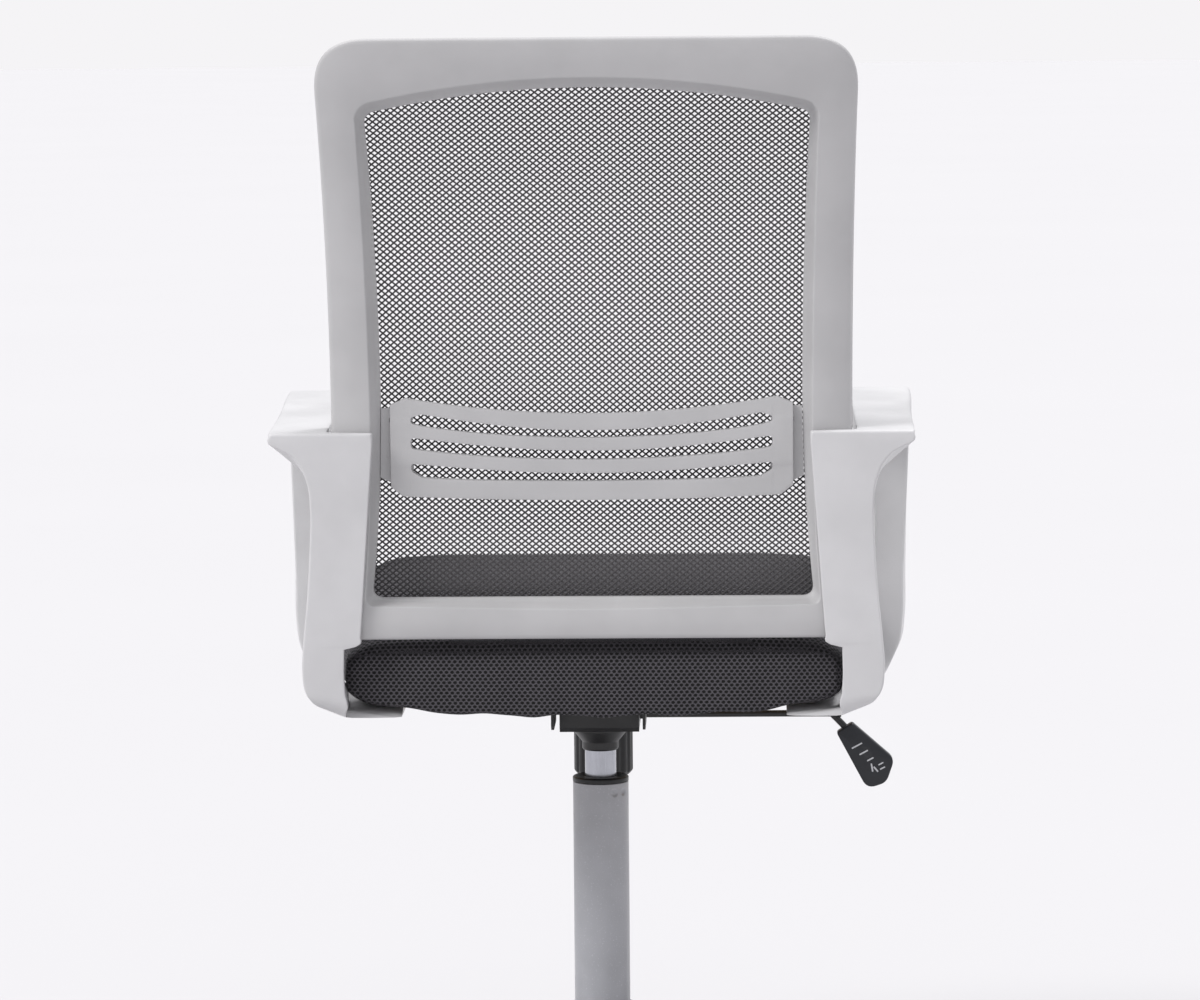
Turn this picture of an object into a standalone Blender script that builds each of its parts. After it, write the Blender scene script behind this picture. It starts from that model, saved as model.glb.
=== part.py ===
"""Swivel chair with a mesh back, closed-loop arms and a five-star base.

Metres, +Z up. The origin is on the floor under the gas column's axis. The sitter faces +Y, and +X is
at the sitter's right hand. Each object is one physical piece of the chair. Empties stand on the
axes that the moving pieces turn about.
"""

from math import cos, pi, radians, sin, sqrt

import bmesh
import bpy
from mathutils import Matrix, Vector

# ---------------------------------------------------------------- driving dimensions
GAP = 0.0003                # running gap between pieces that touch
SHARP_DEGREES = 32          # edges that turn more than this stay sharp

# castors and star base
CASTOR_CIRCLE = 0.300       # radius of the circle that the castor stems stand on
CASTOR_COUNT = 5
WHEEL_RADIUS = 0.025
WHEEL_WIDTH = 0.0170
WHEEL_TRAIL = 0.018         # distance of the axle behind the stem
WEB = 0.0032                # half thickness of the hood's middle web
HOOD_RADIUS = 0.0295
HOOD_HALF_WIDTH = 0.0215
HOOD_TOP = 0.0565
AXLE_RADIUS = 0.0030
STEM_RADIUS = 0.0055
SOCKET_BOTTOM = 0.0582
SOCKET_TOP = 0.0860
STEM_TOP = 0.0795
HUB_BOTTOM = 0.064
HUB_TOP = 0.126

# gas column
TUBE_RADIUS = 0.025
TUBE_WALL = 0.0018
TUBE_BOTTOM = 0.0750
TUBE_TOP = 0.3302
RING_TOP = 0.3352
CYLINDER_RADIUS = 0.014
CYLINDER_BOTTOM = 0.175
CYLINDER_TOP = 0.398
ROD_RADIUS = 0.005
SOCKET_COLLAR_BOTTOM = 0.359

# tilt mechanism
HOUSING_HALF_WIDTH = 0.0355
HOUSING_BOTTOM = 0.379
SHEET = 0.0025              # pressed steel sheet
TILT_Y = 0.055
TILT_Z = 0.400
TILT_AXLE_RADIUS = 0.005
BOLT_Y = 0.105
KNOB_RADIUS = 0.027
KNOB_BOTTOM = 0.320
KNOB_TOP = 0.364
LEVER_PIVOT = (0.0355, 0.030, 0.386)
LEVER_RADIUS = 0.003
LEVER_SLOT_REAR = 0.013     # the housing's slot for the lever, behind and ahead of its pivot
LEVER_SLOT_FRONT = 0.008

# seat
PLATE_TOP = 0.4265
BOARD_BOTTOM = PLATE_TOP + GAP
BOARD_THICKNESS = 0.012
CUSHION_BOTTOM = 0.4275
CUSHION_TOP = 0.5190
SEAT_FRONT = 0.270
SEAT_REAR = -0.203
SEAT_REAR_ABOVE_BAR = -0.178
SEAT_HALF_WIDTH_REAR = 0.2105
SEAT_HALF_WIDTH_FRONT = 0.2405

# back
BACK_BOTTOM = 0.486
BACK_TOP = 1.000
BAR_TOP = 0.521
OPENING_CORNER_Z = 0.937
OPENING_ARCH = 0.021        # rise of the opening's top edge
BACK_DEPTH = 0.022          # thickness of the back frame, front to rear
BACK_Y = -0.198             # middle of the frame at its most forward height
BACK_WAIST_Z = 0.58
BACK_CURVE = 0.57           # the frame leans back by this times the height squared

# arms
ARM_REAR = -0.222
ARM_FRONT = 0.085
ARM_TOP_REAR = 0.665
ARM_TOP_FRONT = 0.681
ARM_FOOT_BOTTOM = 0.4175
ARM_FOOT_TOP = 0.4265

# colours, roughness and metallic value of each finish
FINISHES = {
    "light_grey_plastic": ((0.55, 0.55, 0.57), 0.45, 0.0),
    "back_grey_plastic": ((0.50, 0.50, 0.52), 0.45, 0.0),
    "black_plastic": ((0.018, 0.018, 0.020), 0.45, 0.0),
    "charcoal_fabric": ((0.045, 0.040, 0.047), 0.90, 0.0),
    "back_net": ((0.10, 0.095, 0.10), 0.80, 0.0),
    "column_grey": ((0.30, 0.31, 0.33), 0.35, 0.2),
    "black_steel": ((0.020, 0.020, 0.022), 0.40, 0.6),
    "chrome": ((0.85, 0.85, 0.87), 0.12, 1.0),
    "zinc_steel": ((0.60, 0.60, 0.62), 0.35, 1.0),
    "plywood": ((0.55, 0.38, 0.22), 0.70, 0.0),
    "tyre_grey": ((0.06, 0.06, 0.065), 0.60, 0.0),
}


# ---------------------------------------------------------------- helpers
def finish_material(finish, name):
    """A Principled material of one finish, for one piece."""
    colour, roughness, metallic = FINISHES[finish]
    material = bpy.data.materials.new(name + "_finish")
    material.use_nodes = True
    shader = material.node_tree.nodes["Principled BSDF"]
    shader.inputs["Base Color"].default_value = (*colour, 1.0)
    shader.inputs["Roughness"].default_value = roughness
    shader.inputs["Metallic"].default_value = metallic
    material.diffuse_color = (*colour, 1.0)
    return material


def loft(rings, closed=False):
    """Skin over rings of equal length; a closed loft joins the last ring to the first."""
    count = len(rings[0])
    verts = [point for ring in rings for point in ring]
    faces = []
    for i in range(len(rings) if closed else len(rings) - 1):
        low = i * count
        high = (i + 1) % len(rings) * count
        for j in range(count):
            k = (j + 1) % count
            faces.append((low + j, low + k, high + k, high + j))
    if not closed:
        faces.append(tuple(reversed(range(count))))
        faces.append(tuple(range(len(verts) - count, len(verts))))
    return verts, faces


def turned(profile, steps=24, bore=False, centre=(0.0, 0.0)):
    """Profile points (radius, height) turned about a vertical axis; bore closes the profile."""
    angles = [2 * pi * (i + 0.5) / steps for i in range(steps)]
    rings = [[(centre[0] + r * cos(a), centre[1] + r * sin(a), z) for a in angles] for r, z in profile]
    return loft(rings, closed=bore)


def along_x(profile, x_low, x_high):
    """Outline points (y, z) extruded along X."""
    return loft([[(x, y, z) for y, z in profile] for x in (x_low, x_high)])


def box(low, high):
    """Box between two corners."""
    outline = [(low[1], low[2]), (high[1], low[2]), (high[1], high[2]), (low[1], high[2])]
    return along_x(outline, low[0], high[0])


def rod_along_x(radius, x_low, x_high, y, z, steps=24):
    """Cylinder along X."""
    angles = [2 * pi * (i + 0.5) / steps for i in range(steps)]
    return along_x([(y + radius * cos(a), z + radius * sin(a)) for a in angles], x_low, x_high)


def joined(*shapes):
    """Several shapes as one list of points and faces."""
    verts = []
    faces = []
    for shape_verts, shape_faces in shapes:
        start = len(verts)
        verts.extend(shape_verts)
        faces.extend(tuple(start + i for i in face) for face in shape_faces)
    return verts, faces


def moved(shape, dx=0.0, dy=0.0, dz=0.0):
    verts, faces = shape
    return [(x + dx, y + dy, z + dz) for x, y, z in verts], faces


def mesh_of(shape, name, origin=(0.0, 0.0, 0.0)):
    verts, faces = shape
    mesh = bpy.data.meshes.new(name)
    mesh.from_pydata([(x - origin[0], y - origin[1], z - origin[2]) for x, y, z in verts], [], faces)
    working = bmesh.new()
    working.from_mesh(mesh)
    bmesh.ops.recalc_face_normals(working, faces=working.faces)
    working.to_mesh(mesh)
    working.free()
    return mesh


def axis_empty(name, origin, parent=None):
    """An empty that stands on a joint's axis."""
    empty = bpy.data.objects.new(name, None)
    bpy.context.scene.collection.objects.link(empty)
    empty["world"] = origin
    put(empty, origin, parent)
    return empty


def put(obj, origin, parent):
    """Places an object at a point of the chair, under its parent."""
    base = parent["world"] if parent else (0.0, 0.0, 0.0)
    obj.parent = parent
    obj.location = [origin[i] - base[i] for i in range(3)]


def piece(name, shape, finish, parent=None):
    """One physical piece; its origin is its parent's point."""
    origin = tuple(parent["world"]) if parent else (0.0, 0.0, 0.0)
    mesh = shape if isinstance(shape, bpy.types.Mesh) else mesh_of(shape, name, origin)
    obj = bpy.data.objects.new(name, mesh)
    bpy.context.scene.collection.objects.link(obj)
    put(obj, origin, parent)
    if not mesh.materials:
        mesh.materials.append(finish_material(finish, name))
    mesh.shade_smooth()
    mesh.set_sharp_from_angle(angle=radians(SHARP_DEGREES))
    return obj


def combine(obj, shape, operation):
    """Adds or cuts a shape with a Boolean; the shape stays as a hidden guide."""
    guide = bpy.data.objects.new(obj.name + "_guide", mesh_of(shape, "guide"))
    bpy.context.scene.collection.objects.link(guide)
    guide.hide_render = True
    guide.display_type = "WIRE"
    modifier = obj.modifiers.new("shape", "BOOLEAN")
    modifier.operation = operation
    modifier.solver = "EXACT"
    modifier.object = guide
    return obj


def curve_through(table, at):
    """Smooth value between the table's points (position, value), level at each of them."""
    if at <= table[0][0]:
        return table[0][1]
    for (low, low_value), (high, high_value) in zip(table, table[1:]):
        if at <= high:
            t = (at - low) / (high - low)
            return low_value + (high_value - low_value) * t * t * (3 - 2 * t)
    return table[-1][1]


def rounded_outline(corners, straights, arc_steps=5):
    """Closed outline: corners are (a, b, radius), and straights the number of points between them."""
    points = []
    total = len(corners)
    for i, (a, b, radius) in enumerate(corners):
        before = corners[i - 1]
        after = corners[(i + 1) % total]
        to_before = unit(before[0] - a, before[1] - b)
        to_after = unit(after[0] - a, after[1] - b)
        dot = to_before[0] * to_after[0] + to_before[1] * to_after[1]
        tangent = radius * sqrt((1 + dot) / (1 - dot))
        start = (a + to_before[0] * tangent, b + to_before[1] * tangent)
        end = (a + to_after[0] * tangent, b + to_after[1] * tangent)
        for k in range(arc_steps + 1):
            t = k / arc_steps
            points.append(tuple(
                (1 - t) ** 2 * start[n] + 2 * t * (1 - t) * (a, b)[n] + t * t * end[n] for n in (0, 1)))
        back = unit(a - after[0], b - after[1])
        there = unit(corners[(i + 2) % total][0] - after[0], corners[(i + 2) % total][1] - after[1])
        dot_next = back[0] * there[0] + back[1] * there[1]
        next_tangent = after[2] * sqrt((1 + dot_next) / (1 - dot_next))
        finish = (after[0] + back[0] * next_tangent, after[1] + back[1] * next_tangent)
        for k in range(1, straights[i] + 1):
            t = k / (straights[i] + 1)
            points.append((end[0] + (finish[0] - end[0]) * t, end[1] + (finish[1] - end[1]) * t))
    return points


def unit(a, b):
    length = sqrt(a * a + b * b)
    return a / length, b / length


# ---------------------------------------------------------------- star base and castors
def leg_section(radius, width, low, high):
    """Six-sided leg section across +X: flat bottom and a narrower top."""
    half = width / 2
    return [(radius, -half * 0.8, low), (radius, half * 0.8, low), (radius, half, low + 0.006),
            (radius, half * 0.72, high), (radius, -half * 0.72, high), (radius, -half, low + 0.006)]


def turned_about_z(shape, angle):
    verts, faces = shape
    return [(x * cos(angle) - y * sin(angle), x * sin(angle) + y * cos(angle), z)
            for x, y, z in verts], faces


def leg_angles():
    """One leg points forward, and the others follow at equal angles."""
    return [pi / 2 + 2 * pi * i / CASTOR_COUNT for i in range(CASTOR_COUNT)]


def star_base():
    hub = turned([(0.034, HUB_BOTTOM), (0.0375, HUB_BOTTOM + 0.004), (0.0355, HUB_TOP - 0.006),
                  (0.0325, HUB_TOP)], steps=28)
    base = piece("star_base", hub, "black_plastic")
    leg = loft([leg_section(0.0335, 0.036, 0.070, 0.1130), leg_section(0.120, 0.036, 0.074, 0.1100),
                leg_section(0.220, 0.031, 0.070, 0.0980), leg_section(CASTOR_CIRCLE, 0.026, 0.064, 0.0835)])
    socket = turned([(0.0150, SOCKET_BOTTOM), (0.0150, SOCKET_TOP - 0.002), (0.0125, SOCKET_TOP)],
                    steps=20, centre=(CASTOR_CIRCLE, 0.0))
    hole = turned([(STEM_RADIUS + GAP, SOCKET_BOTTOM - 0.01), (STEM_RADIUS + GAP, STEM_TOP + 0.0008)],
                  steps=16, centre=(CASTOR_CIRCLE, 0.0))
    angles = leg_angles()
    combine(base, joined(*[turned_about_z(leg, a) for a in angles]), "UNION")
    combine(base, joined(*[turned_about_z(socket, a) for a in angles]), "UNION")
    combine(base, joined(*[turned_about_z(hole, a) for a in angles]), "DIFFERENCE")
    bore = turned([(TUBE_RADIUS + GAP, HUB_BOTTOM - 0.02), (TUBE_RADIUS + GAP, HUB_TOP + 0.02)], steps=28)
    combine(base, bore, "DIFFERENCE")


def hood_mesh():
    """Castor hood about its stem's axis: a half round cover with a middle web and a stem boss."""
    axle_y = -WHEEL_TRAIL
    first = radians(12)
    last = radians(168)
    arc = [first + (last - first) * i / 12 for i in range(13)]
    outline = [(axle_y + HOOD_RADIUS * cos(a), WHEEL_RADIUS + HOOD_RADIUS * sin(a)) for a in arc]
    outline += [(axle_y - 0.010, WHEEL_RADIUS - 0.004), (axle_y, WHEEL_RADIUS - 0.009),
                (axle_y + 0.010, WHEEL_RADIUS - 0.004)]
    hood = bpy.data.objects.new("hood_shape", mesh_of(along_x(outline, -HOOD_HALF_WIDTH, HOOD_HALF_WIDTH),
                                                     "hood_shape"))
    bpy.context.scene.collection.objects.link(hood)
    combine(hood, turned([(0.0095, 0.0350), (0.0095, HOOD_TOP)], steps=20), "UNION")
    for side in (-1, 1):
        ends = sorted((side * WEB, side * 0.04))
        combine(hood, rod_along_x(0.0268, ends[0], ends[1], axle_y, WHEEL_RADIUS, steps=28), "DIFFERENCE")
    combine(hood, rod_along_x(AXLE_RADIUS + GAP, -0.03, 0.03, axle_y, WHEEL_RADIUS, steps=14), "DIFFERENCE")
    combine(hood, turned([(STEM_RADIUS + GAP, 0.0460), (STEM_RADIUS + GAP, 0.07)], steps=16), "DIFFERENCE")
    bpy.context.view_layer.update()
    result = bpy.data.meshes.new_from_object(hood.evaluated_get(bpy.context.evaluated_depsgraph_get()))
    for guide in [m.object for m in hood.modifiers]:
        bpy.data.objects.remove(guide)
    bpy.data.objects.remove(hood)
    result.name = "castor_hood"
    return result


def castor(number, angle, shared_hood):
    """Twin-wheel castor: the stem, hood and axle swivel together, and each wheel spins alone."""
    stem_x = CASTOR_CIRCLE * cos(angle)
    stem_y = CASTOR_CIRCLE * sin(angle)
    name = f"castor_{number}"
    swivel = axis_empty(name + "_swivel", (stem_x, stem_y, 0.0))
    stem = turned([(STEM_RADIUS, 0.0464), (STEM_RADIUS, 0.0568), (0.0085, 0.0568), (0.0085, 0.0579),
                   (STEM_RADIUS, 0.0579), (STEM_RADIUS, STEM_TOP - 0.001), (0.0045, STEM_TOP)],
                  steps=16, centre=(stem_x, stem_y))
    piece(name + "_stem", stem, "zinc_steel", swivel)
    piece(name + "_hood", shared_hood, "black_plastic", swivel)
    axle_y = stem_y - WHEEL_TRAIL
    reach = WEB + GAP + WHEEL_WIDTH - 0.003
    axle = rod_along_x(AXLE_RADIUS, stem_x - reach, stem_x + reach, axle_y, WHEEL_RADIUS, steps=14)
    piece(name + "_axle", axle, "zinc_steel", swivel)
    spin = axis_empty(name + "_spin", (stem_x, axle_y, WHEEL_RADIUS), swivel)
    for side, word in ((-1, "left"), (1, "right")):
        piece(f"{name}_wheel_{word}", wheel(stem_x, axle_y, side), "tyre_grey", spin)


def wheel(x, y, side):
    """Wheel turned about X, with a rounded tread and a blind bore for the axle."""
    inner = WEB + GAP
    outer = inner + WHEEL_WIDTH
    bore = AXLE_RADIUS + 0.00025
    profile = [(bore, outer - 0.0025), (bore, inner), (WHEEL_RADIUS - 0.001, inner),
               (WHEEL_RADIUS, inner + 0.002), (WHEEL_RADIUS, outer - 0.004),
               (WHEEL_RADIUS - 0.0035, outer), (0.006, outer - 0.001)]
    steps = 24
    angles = [2 * pi * i / steps - pi / 2 for i in range(steps)]
    return loft([[(x + side * a, y + r * cos(t), WHEEL_RADIUS + r * sin(t)) for t in angles]
                 for r, a in profile])


# ---------------------------------------------------------------- gas column
def gas_column(spin):
    inner = TUBE_RADIUS - TUBE_WALL
    floor_top = TUBE_BOTTOM + 0.003
    tube_wall = [(0.0055, TUBE_BOTTOM), (TUBE_RADIUS, TUBE_BOTTOM), (TUBE_RADIUS, TUBE_TOP),
                 (inner, TUBE_TOP), (inner, floor_top), (0.0055, floor_top)]
    piece("column_tube", turned(tube_wall, steps=28, bore=True), "column_grey")
    ring = [(0.0146, TUBE_TOP + GAP), (TUBE_RADIUS, TUBE_TOP + GAP), (TUBE_RADIUS, RING_TOP - 0.001),
            (TUBE_RADIUS - 0.0012, RING_TOP), (0.0146, RING_TOP)]
    piece("column_ring", turned(ring, steps=28, bore=True), "black_plastic")
    piece("guide_bush", turned([(0.01415, 0.240), (inner - GAP, 0.240), (inner - GAP, TUBE_TOP - GAP),
                                (0.01415, TUBE_TOP - GAP)], steps=28, bore=True), "black_plastic")
    piece("thrust_bearing", turned([(0.0054, 0.0783), (0.0120, 0.0783), (0.0120, 0.0850),
                                    (0.0054, 0.0850)], steps=24, bore=True), "zinc_steel")
    piece("retaining_clip", turned([(0.0053, 0.0722), (0.0090, 0.0722), (0.0090, 0.0747),
                                    (0.0053, 0.0747)], steps=24, bore=True), "black_steel")
    piece("piston_rod", turned([(ROD_RADIUS, 0.0700), (ROD_RADIUS, 0.0853), (0.0090, 0.0853),
                                (0.0090, 0.0885), (ROD_RADIUS, 0.0885), (ROD_RADIUS, 0.300)], steps=20),
          "zinc_steel", spin)
    piece("gas_cylinder", turned([(ROD_RADIUS + GAP, 0.370), (ROD_RADIUS + GAP, CYLINDER_BOTTOM),
                                  (CYLINDER_RADIUS, CYLINDER_BOTTOM), (CYLINDER_RADIUS, 0.375),
                                  (0.0132, CYLINDER_TOP), (0.0044, CYLINDER_TOP), (0.0044, 0.3920)],
                                 steps=28), "chrome", spin)
    piece("release_button", turned([(0.0040, 0.3960), (0.0040, 0.4020), (0.0032, 0.4030)], steps=20),
          "black_plastic", spin)


# ---------------------------------------------------------------- tilt mechanism
def mechanism(spin):
    half = HOUSING_HALF_WIDTH
    floor = HOUSING_BOTTOM
    side = [(-0.030, floor), (0.121, floor), (0.125, floor + 0.004), (0.125, 0.402), (0.118, 0.409),
            (0.020, 0.409), (-0.034, 0.4020), (-0.034, floor + 0.004)]
    housing = piece("mechanism_housing", along_x(side, -half, half), "black_steel", spin)
    inside = [(-0.0315, floor + SHEET), (0.1225, floor + SHEET), (0.1225, 0.45), (-0.0315, 0.45)]
    combine(housing, along_x(inside, SHEET - half, half - SHEET), "DIFFERENCE")
    holes = joined(turned([(0.0183, floor - 0.01), (0.0183, floor + 0.01)]),
                   turned([(0.0046, floor - 0.01), (0.0046, floor + 0.01)], steps=20, centre=(0.0, BOLT_Y)),
                   rod_along_x(TILT_AXLE_RADIUS + GAP, -0.05, 0.05, TILT_Y, TILT_Z))
    combine(housing, holes, "DIFFERENCE")
    slot_y = LEVER_PIVOT[1]
    slot = box((half - 0.006, slot_y - LEVER_SLOT_REAR, floor + SHEET),
               (half + 0.01, slot_y + LEVER_SLOT_FRONT, 0.43))
    combine(housing, slot, "DIFFERENCE")
    low = SOCKET_COLLAR_BOTTOM
    socket = [(0.0143, low), (0.0152, low), (0.0163, low + 0.0015), (0.0163, 0.3665), (0.0250, 0.3770),
              (0.0250, 0.3787), (0.0180, 0.3787), (0.0180, 0.3930), (0.0137, 0.3930), (0.0143, 0.3750)]
    piece("taper_socket", turned(socket, steps=28, bore=True), "black_steel", spin)
    head = 0.0425
    tilt_axle = rod_along_x(TILT_AXLE_RADIUS, -head, head, TILT_Y, TILT_Z)
    axle = piece("tilt_axle", tilt_axle, "zinc_steel", spin)
    for end in (-1, 1):
        ends = sorted((end * (head - 0.0001), end * (head + 0.003)))
        combine(axle, rod_along_x(0.0075, ends[0], ends[1], TILT_Y, TILT_Z), "UNION")
    lever_and_collar(spin)
    tension(spin)


def lever_and_collar(spin):
    pivot_x, pivot_y, pivot_z = LEVER_PIVOT
    pivot = axis_empty("lever_pivot", LEVER_PIVOT, spin)
    collar = rod_along_x(0.0042, pivot_x - 0.003, pivot_x + 0.003, pivot_y, pivot_z, steps=20)
    collar_piece = piece("lever_collar", collar, "black_plastic", pivot)
    hole = rod_along_x(LEVER_RADIUS + GAP, pivot_x - 0.01, pivot_x + 0.01, pivot_y, pivot_z, steps=14)
    combine(collar_piece, moved(hole, -pivot_x, -pivot_y, -pivot_z), "DIFFERENCE")
    collar_piece.modifiers[0].object.location = LEVER_PIVOT
    route = [(-0.001, -0.001, 0.4063), (0.011, 0.011, 0.4063), (0.022, 0.024, 0.3935),
             (0.0295, 0.0297, 0.3866), (0.0318, 0.030, 0.386), (0.203, 0.030, 0.386),
             (0.2095, 0.0295, 0.3845), (0.2160, 0.0285, 0.3785)]
    piece("lever_rod", tube(route, LEVER_RADIUS, 10), "black_steel", pivot)
    outline = rounded_outline([(0.2125, 0.3695, 0.001), (0.2268, 0.3785, 0.001), (0.2650, 0.3450, 0.008),
                               (0.2575, 0.3235, 0.012), (0.2400, 0.3180, 0.008)], [1, 2, 0, 0, 2], 4)
    rear, front = pivot_y - 0.0085, pivot_y + 0.0035
    rings = []
    for y, inset in ((rear, 0.0015), (rear + 0.002, 0.0), (front - 0.002, 0.0), (front, 0.0015)):
        share = inset / 0.02
        rings.append([(x + (0.238 - x) * share, y, z + (0.345 - z) * share) for x, z in outline])
    paddle = piece("lever_paddle", loft(rings), "black_plastic", pivot)
    socket = tube([route[-3], route[-2], route[-1], (0.2200, 0.0280, 0.3750)], LEVER_RADIUS + GAP, 10)
    combine(paddle, socket, "DIFFERENCE")


def tube(route, radius, sides):
    """Round tube through the route's points, each ring square to the run."""
    points = [Vector(p) for p in route]
    rings = []
    across = None
    for i, point in enumerate(points):
        ahead = (points[min(i + 1, len(points) - 1)] - points[max(i - 1, 0)]).normalized()
        across = across or Vector((0.0, 0.0, 1.0))
        side = ahead.cross(across).normalized()
        across = side.cross(ahead).normalized()
        ring = []
        for k in range(sides):
            a = 2 * pi * (k + 0.5) / sides
            ring.append(tuple(point + side * (radius * cos(a)) + across * (radius * sin(a))))
        rings.append(ring)
    return loft(rings)


def tension(spin):
    """Bolt, spring, cup and knob that set how hard the seat leans back."""
    knob = axis_empty("tension_axis", (0.0, BOLT_Y, 0.0), spin)
    bolt = turned([(0.0040, KNOB_BOTTOM + 0.003), (0.0040, 0.4285), (0.0080, 0.4285), (0.0080, 0.4320),
                   (0.0068, 0.4328)], steps=20, centre=(0.0, BOLT_Y))
    piece("tension_bolt", bolt, "zinc_steel", knob)
    cup = turned([(0.0044, 0.3353), (0.0190, 0.3353), (0.0190, 0.3373), (0.0044, 0.3373)],
                 steps=32, bore=True, centre=(0.0, BOLT_Y))
    piece("spring_cup", cup, "zinc_steel", knob)
    turns = 4.5
    low = 0.3376 + 0.0022
    high = HOUSING_BOTTOM - GAP - 0.0022
    helix = []
    count = int(turns * 10)
    for i in range(count + 1):
        a = 2 * pi * i / 10
        helix.append((0.0145 * cos(a), BOLT_Y + 0.0145 * sin(a), low + (high - low) * i / count))
    piece("tension_spring", tube(helix, 0.0021, 5), "zinc_steel", knob)
    piece("tension_knob", knob_shape(), "black_plastic", knob)


def knob_shape():
    """Round knob with grip ribs, hollow on top for the spring and its cup."""
    ribs = 18
    rings = []
    for radius, z, grip in ((0.0043, KNOB_BOTTOM, 0.0), (0.0235, KNOB_BOTTOM, 0.0),
                            (KNOB_RADIUS, KNOB_BOTTOM + 0.004, 0.0012),
                            (KNOB_RADIUS, KNOB_TOP - 0.0015, 0.0012),
                            (0.0250, KNOB_TOP, 0.0), (0.0200, KNOB_TOP, 0.0), (0.0200, 0.335, 0.0),
                            (0.0043, 0.335, 0.0)):
        ring = []
        for k in range(ribs * 2):
            a = pi * k / ribs
            r = radius - (grip if k % 2 else 0.0)
            ring.append((r * cos(a), BOLT_Y + r * sin(a), z))
        rings.append(ring)
    return loft(rings, closed=True)


# ---------------------------------------------------------------- seat
def seat_half_width(y):
    """The seat is narrow between the rear posts and widens towards the front."""
    return curve_through([(-0.150, SEAT_HALF_WIDTH_REAR), (0.000, SEAT_HALF_WIDTH_FRONT)], y)


def seat_ring(z, inset, rear=SEAT_REAR, steps=40, power=6.0):
    """Outline of the seat at one height, a rounded rectangle of superellipse form."""
    middle = (SEAT_FRONT + rear) / 2
    reach = (SEAT_FRONT - rear) / 2 - inset
    ring = []
    for k in range(steps):
        a = 2 * pi * (k + 0.5) / steps
        across = abs(cos(a)) ** (2 / power) * (1 if cos(a) > 0 else -1)
        ahead = abs(sin(a)) ** (2 / power) * (1 if sin(a) > 0 else -1)
        y = middle + reach * ahead
        ring.append(((seat_half_width(y) - inset) * across, y, z))
    return ring


def seat(tilt):
    plate = piece("seat_plate", box((-0.080, -0.130, PLATE_TOP - SHEET), (0.080, 0.122, PLATE_TOP)),
                  "black_steel", tilt)
    top = PLATE_TOP - SHEET / 2
    flange = [(-0.070, top), (-0.070, 0.390), (-0.064, 0.386), (-0.008, 0.386), (0.004, 0.404),
              (0.040, 0.404),
              (0.046, 0.391), (0.051, 0.388), (0.059, 0.388), (0.064, 0.391), (0.070, 0.404), (0.100, top)]
    local = tuple(tilt["world"])
    walls = joined(along_x(flange, 0.0393, 0.0393 + SHEET), along_x(flange, -0.0393 - SHEET, -0.0393))
    fit(combine(plate, moved(walls, *[-c for c in local]), "UNION"), local)
    cuts = joined(rod_along_x(TILT_AXLE_RADIUS + GAP, -0.06, 0.06, TILT_Y, TILT_Z),
                  box((-0.005, BOLT_Y - 0.0060, 0.41), (0.005, BOLT_Y + 0.0100, 0.44)))
    fit(combine(plate, moved(cuts, *[-c for c in local]), "DIFFERENCE"), local)

    board_rings = [seat_ring(z, 0.020) for z in (BOARD_BOTTOM, BOARD_BOTTOM + BOARD_THICKNESS)]
    board = piece("seat_board", loft(board_rings), "plywood", tilt)
    holes = [turned([(0.016, 0.42), (0.016, 0.45)], steps=24, centre=(0.0, BOLT_Y + 0.002))]
    holes += [turned([(0.0033, 0.42), (0.0033, 0.4365)], steps=14, centre=spot) for spot in arm_bolt_spots()]
    fit(combine(board, moved(joined(*holes), *[-c for c in local]), "DIFFERENCE"), local)

    pocket = BOARD_BOTTOM + BOARD_THICKNESS + GAP
    rings = [seat_ring(pocket, 0.0195), seat_ring(CUSHION_BOTTOM, 0.0195), seat_ring(CUSHION_BOTTOM, 0.004),
             seat_ring(0.4340, 0.0), seat_ring(0.4700, 0.0),
             seat_ring(0.4845, 0.0005, rear=SEAT_REAR_ABOVE_BAR),
             seat_ring(0.5000, 0.005, rear=SEAT_REAR_ABOVE_BAR),
             seat_ring(0.5110, 0.018, rear=SEAT_REAR_ABOVE_BAR),
             seat_ring(0.5165, 0.045, rear=SEAT_REAR_ABOVE_BAR),
             seat_ring(CUSHION_TOP, 0.090, rear=SEAT_REAR_ABOVE_BAR)]
    piece("seat_cushion", loft(rings), "charcoal_fabric", tilt)


def fit(obj, origin):
    """Puts the newest guide of an object where the object itself stands."""
    obj.modifiers[-1].object.location = origin
    return obj


# ---------------------------------------------------------------- back
def back_y(z):
    """Middle of the back frame at a height; it leans back above and below the waist."""
    return BACK_Y - BACK_CURVE * (z - BACK_WAIST_Z) ** 2


def back_outer_half(z):
    return 0.2220 + 0.065 * (z - 0.70) ** 2


def back_inner_half(z):
    return 0.1800 + (0.121 if z > 0.70 else 0.29) * (z - 0.70) ** 2


def frame_outline(low, high, half, corner_low, corner_high, arch=0.0):
    """Closed outline (x, z) whose sides follow the half width and whose top edge is an arch."""
    reach = half(0.7)
    corners = [(-reach, low, corner_low), (reach, low, corner_low), (reach, high, corner_high),
               (-reach, high, corner_high)]
    points = []
    for x, z in rounded_outline(corners, [4, 10, 6, 10], 5):
        x = x / reach * half(z)
        rise = arch * (1 - (x / reach) ** 2) * curve_through([(high - 0.04, 0.0), (high, 1.0)], z)
        points.append((x, z + rise))
    return points


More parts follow.
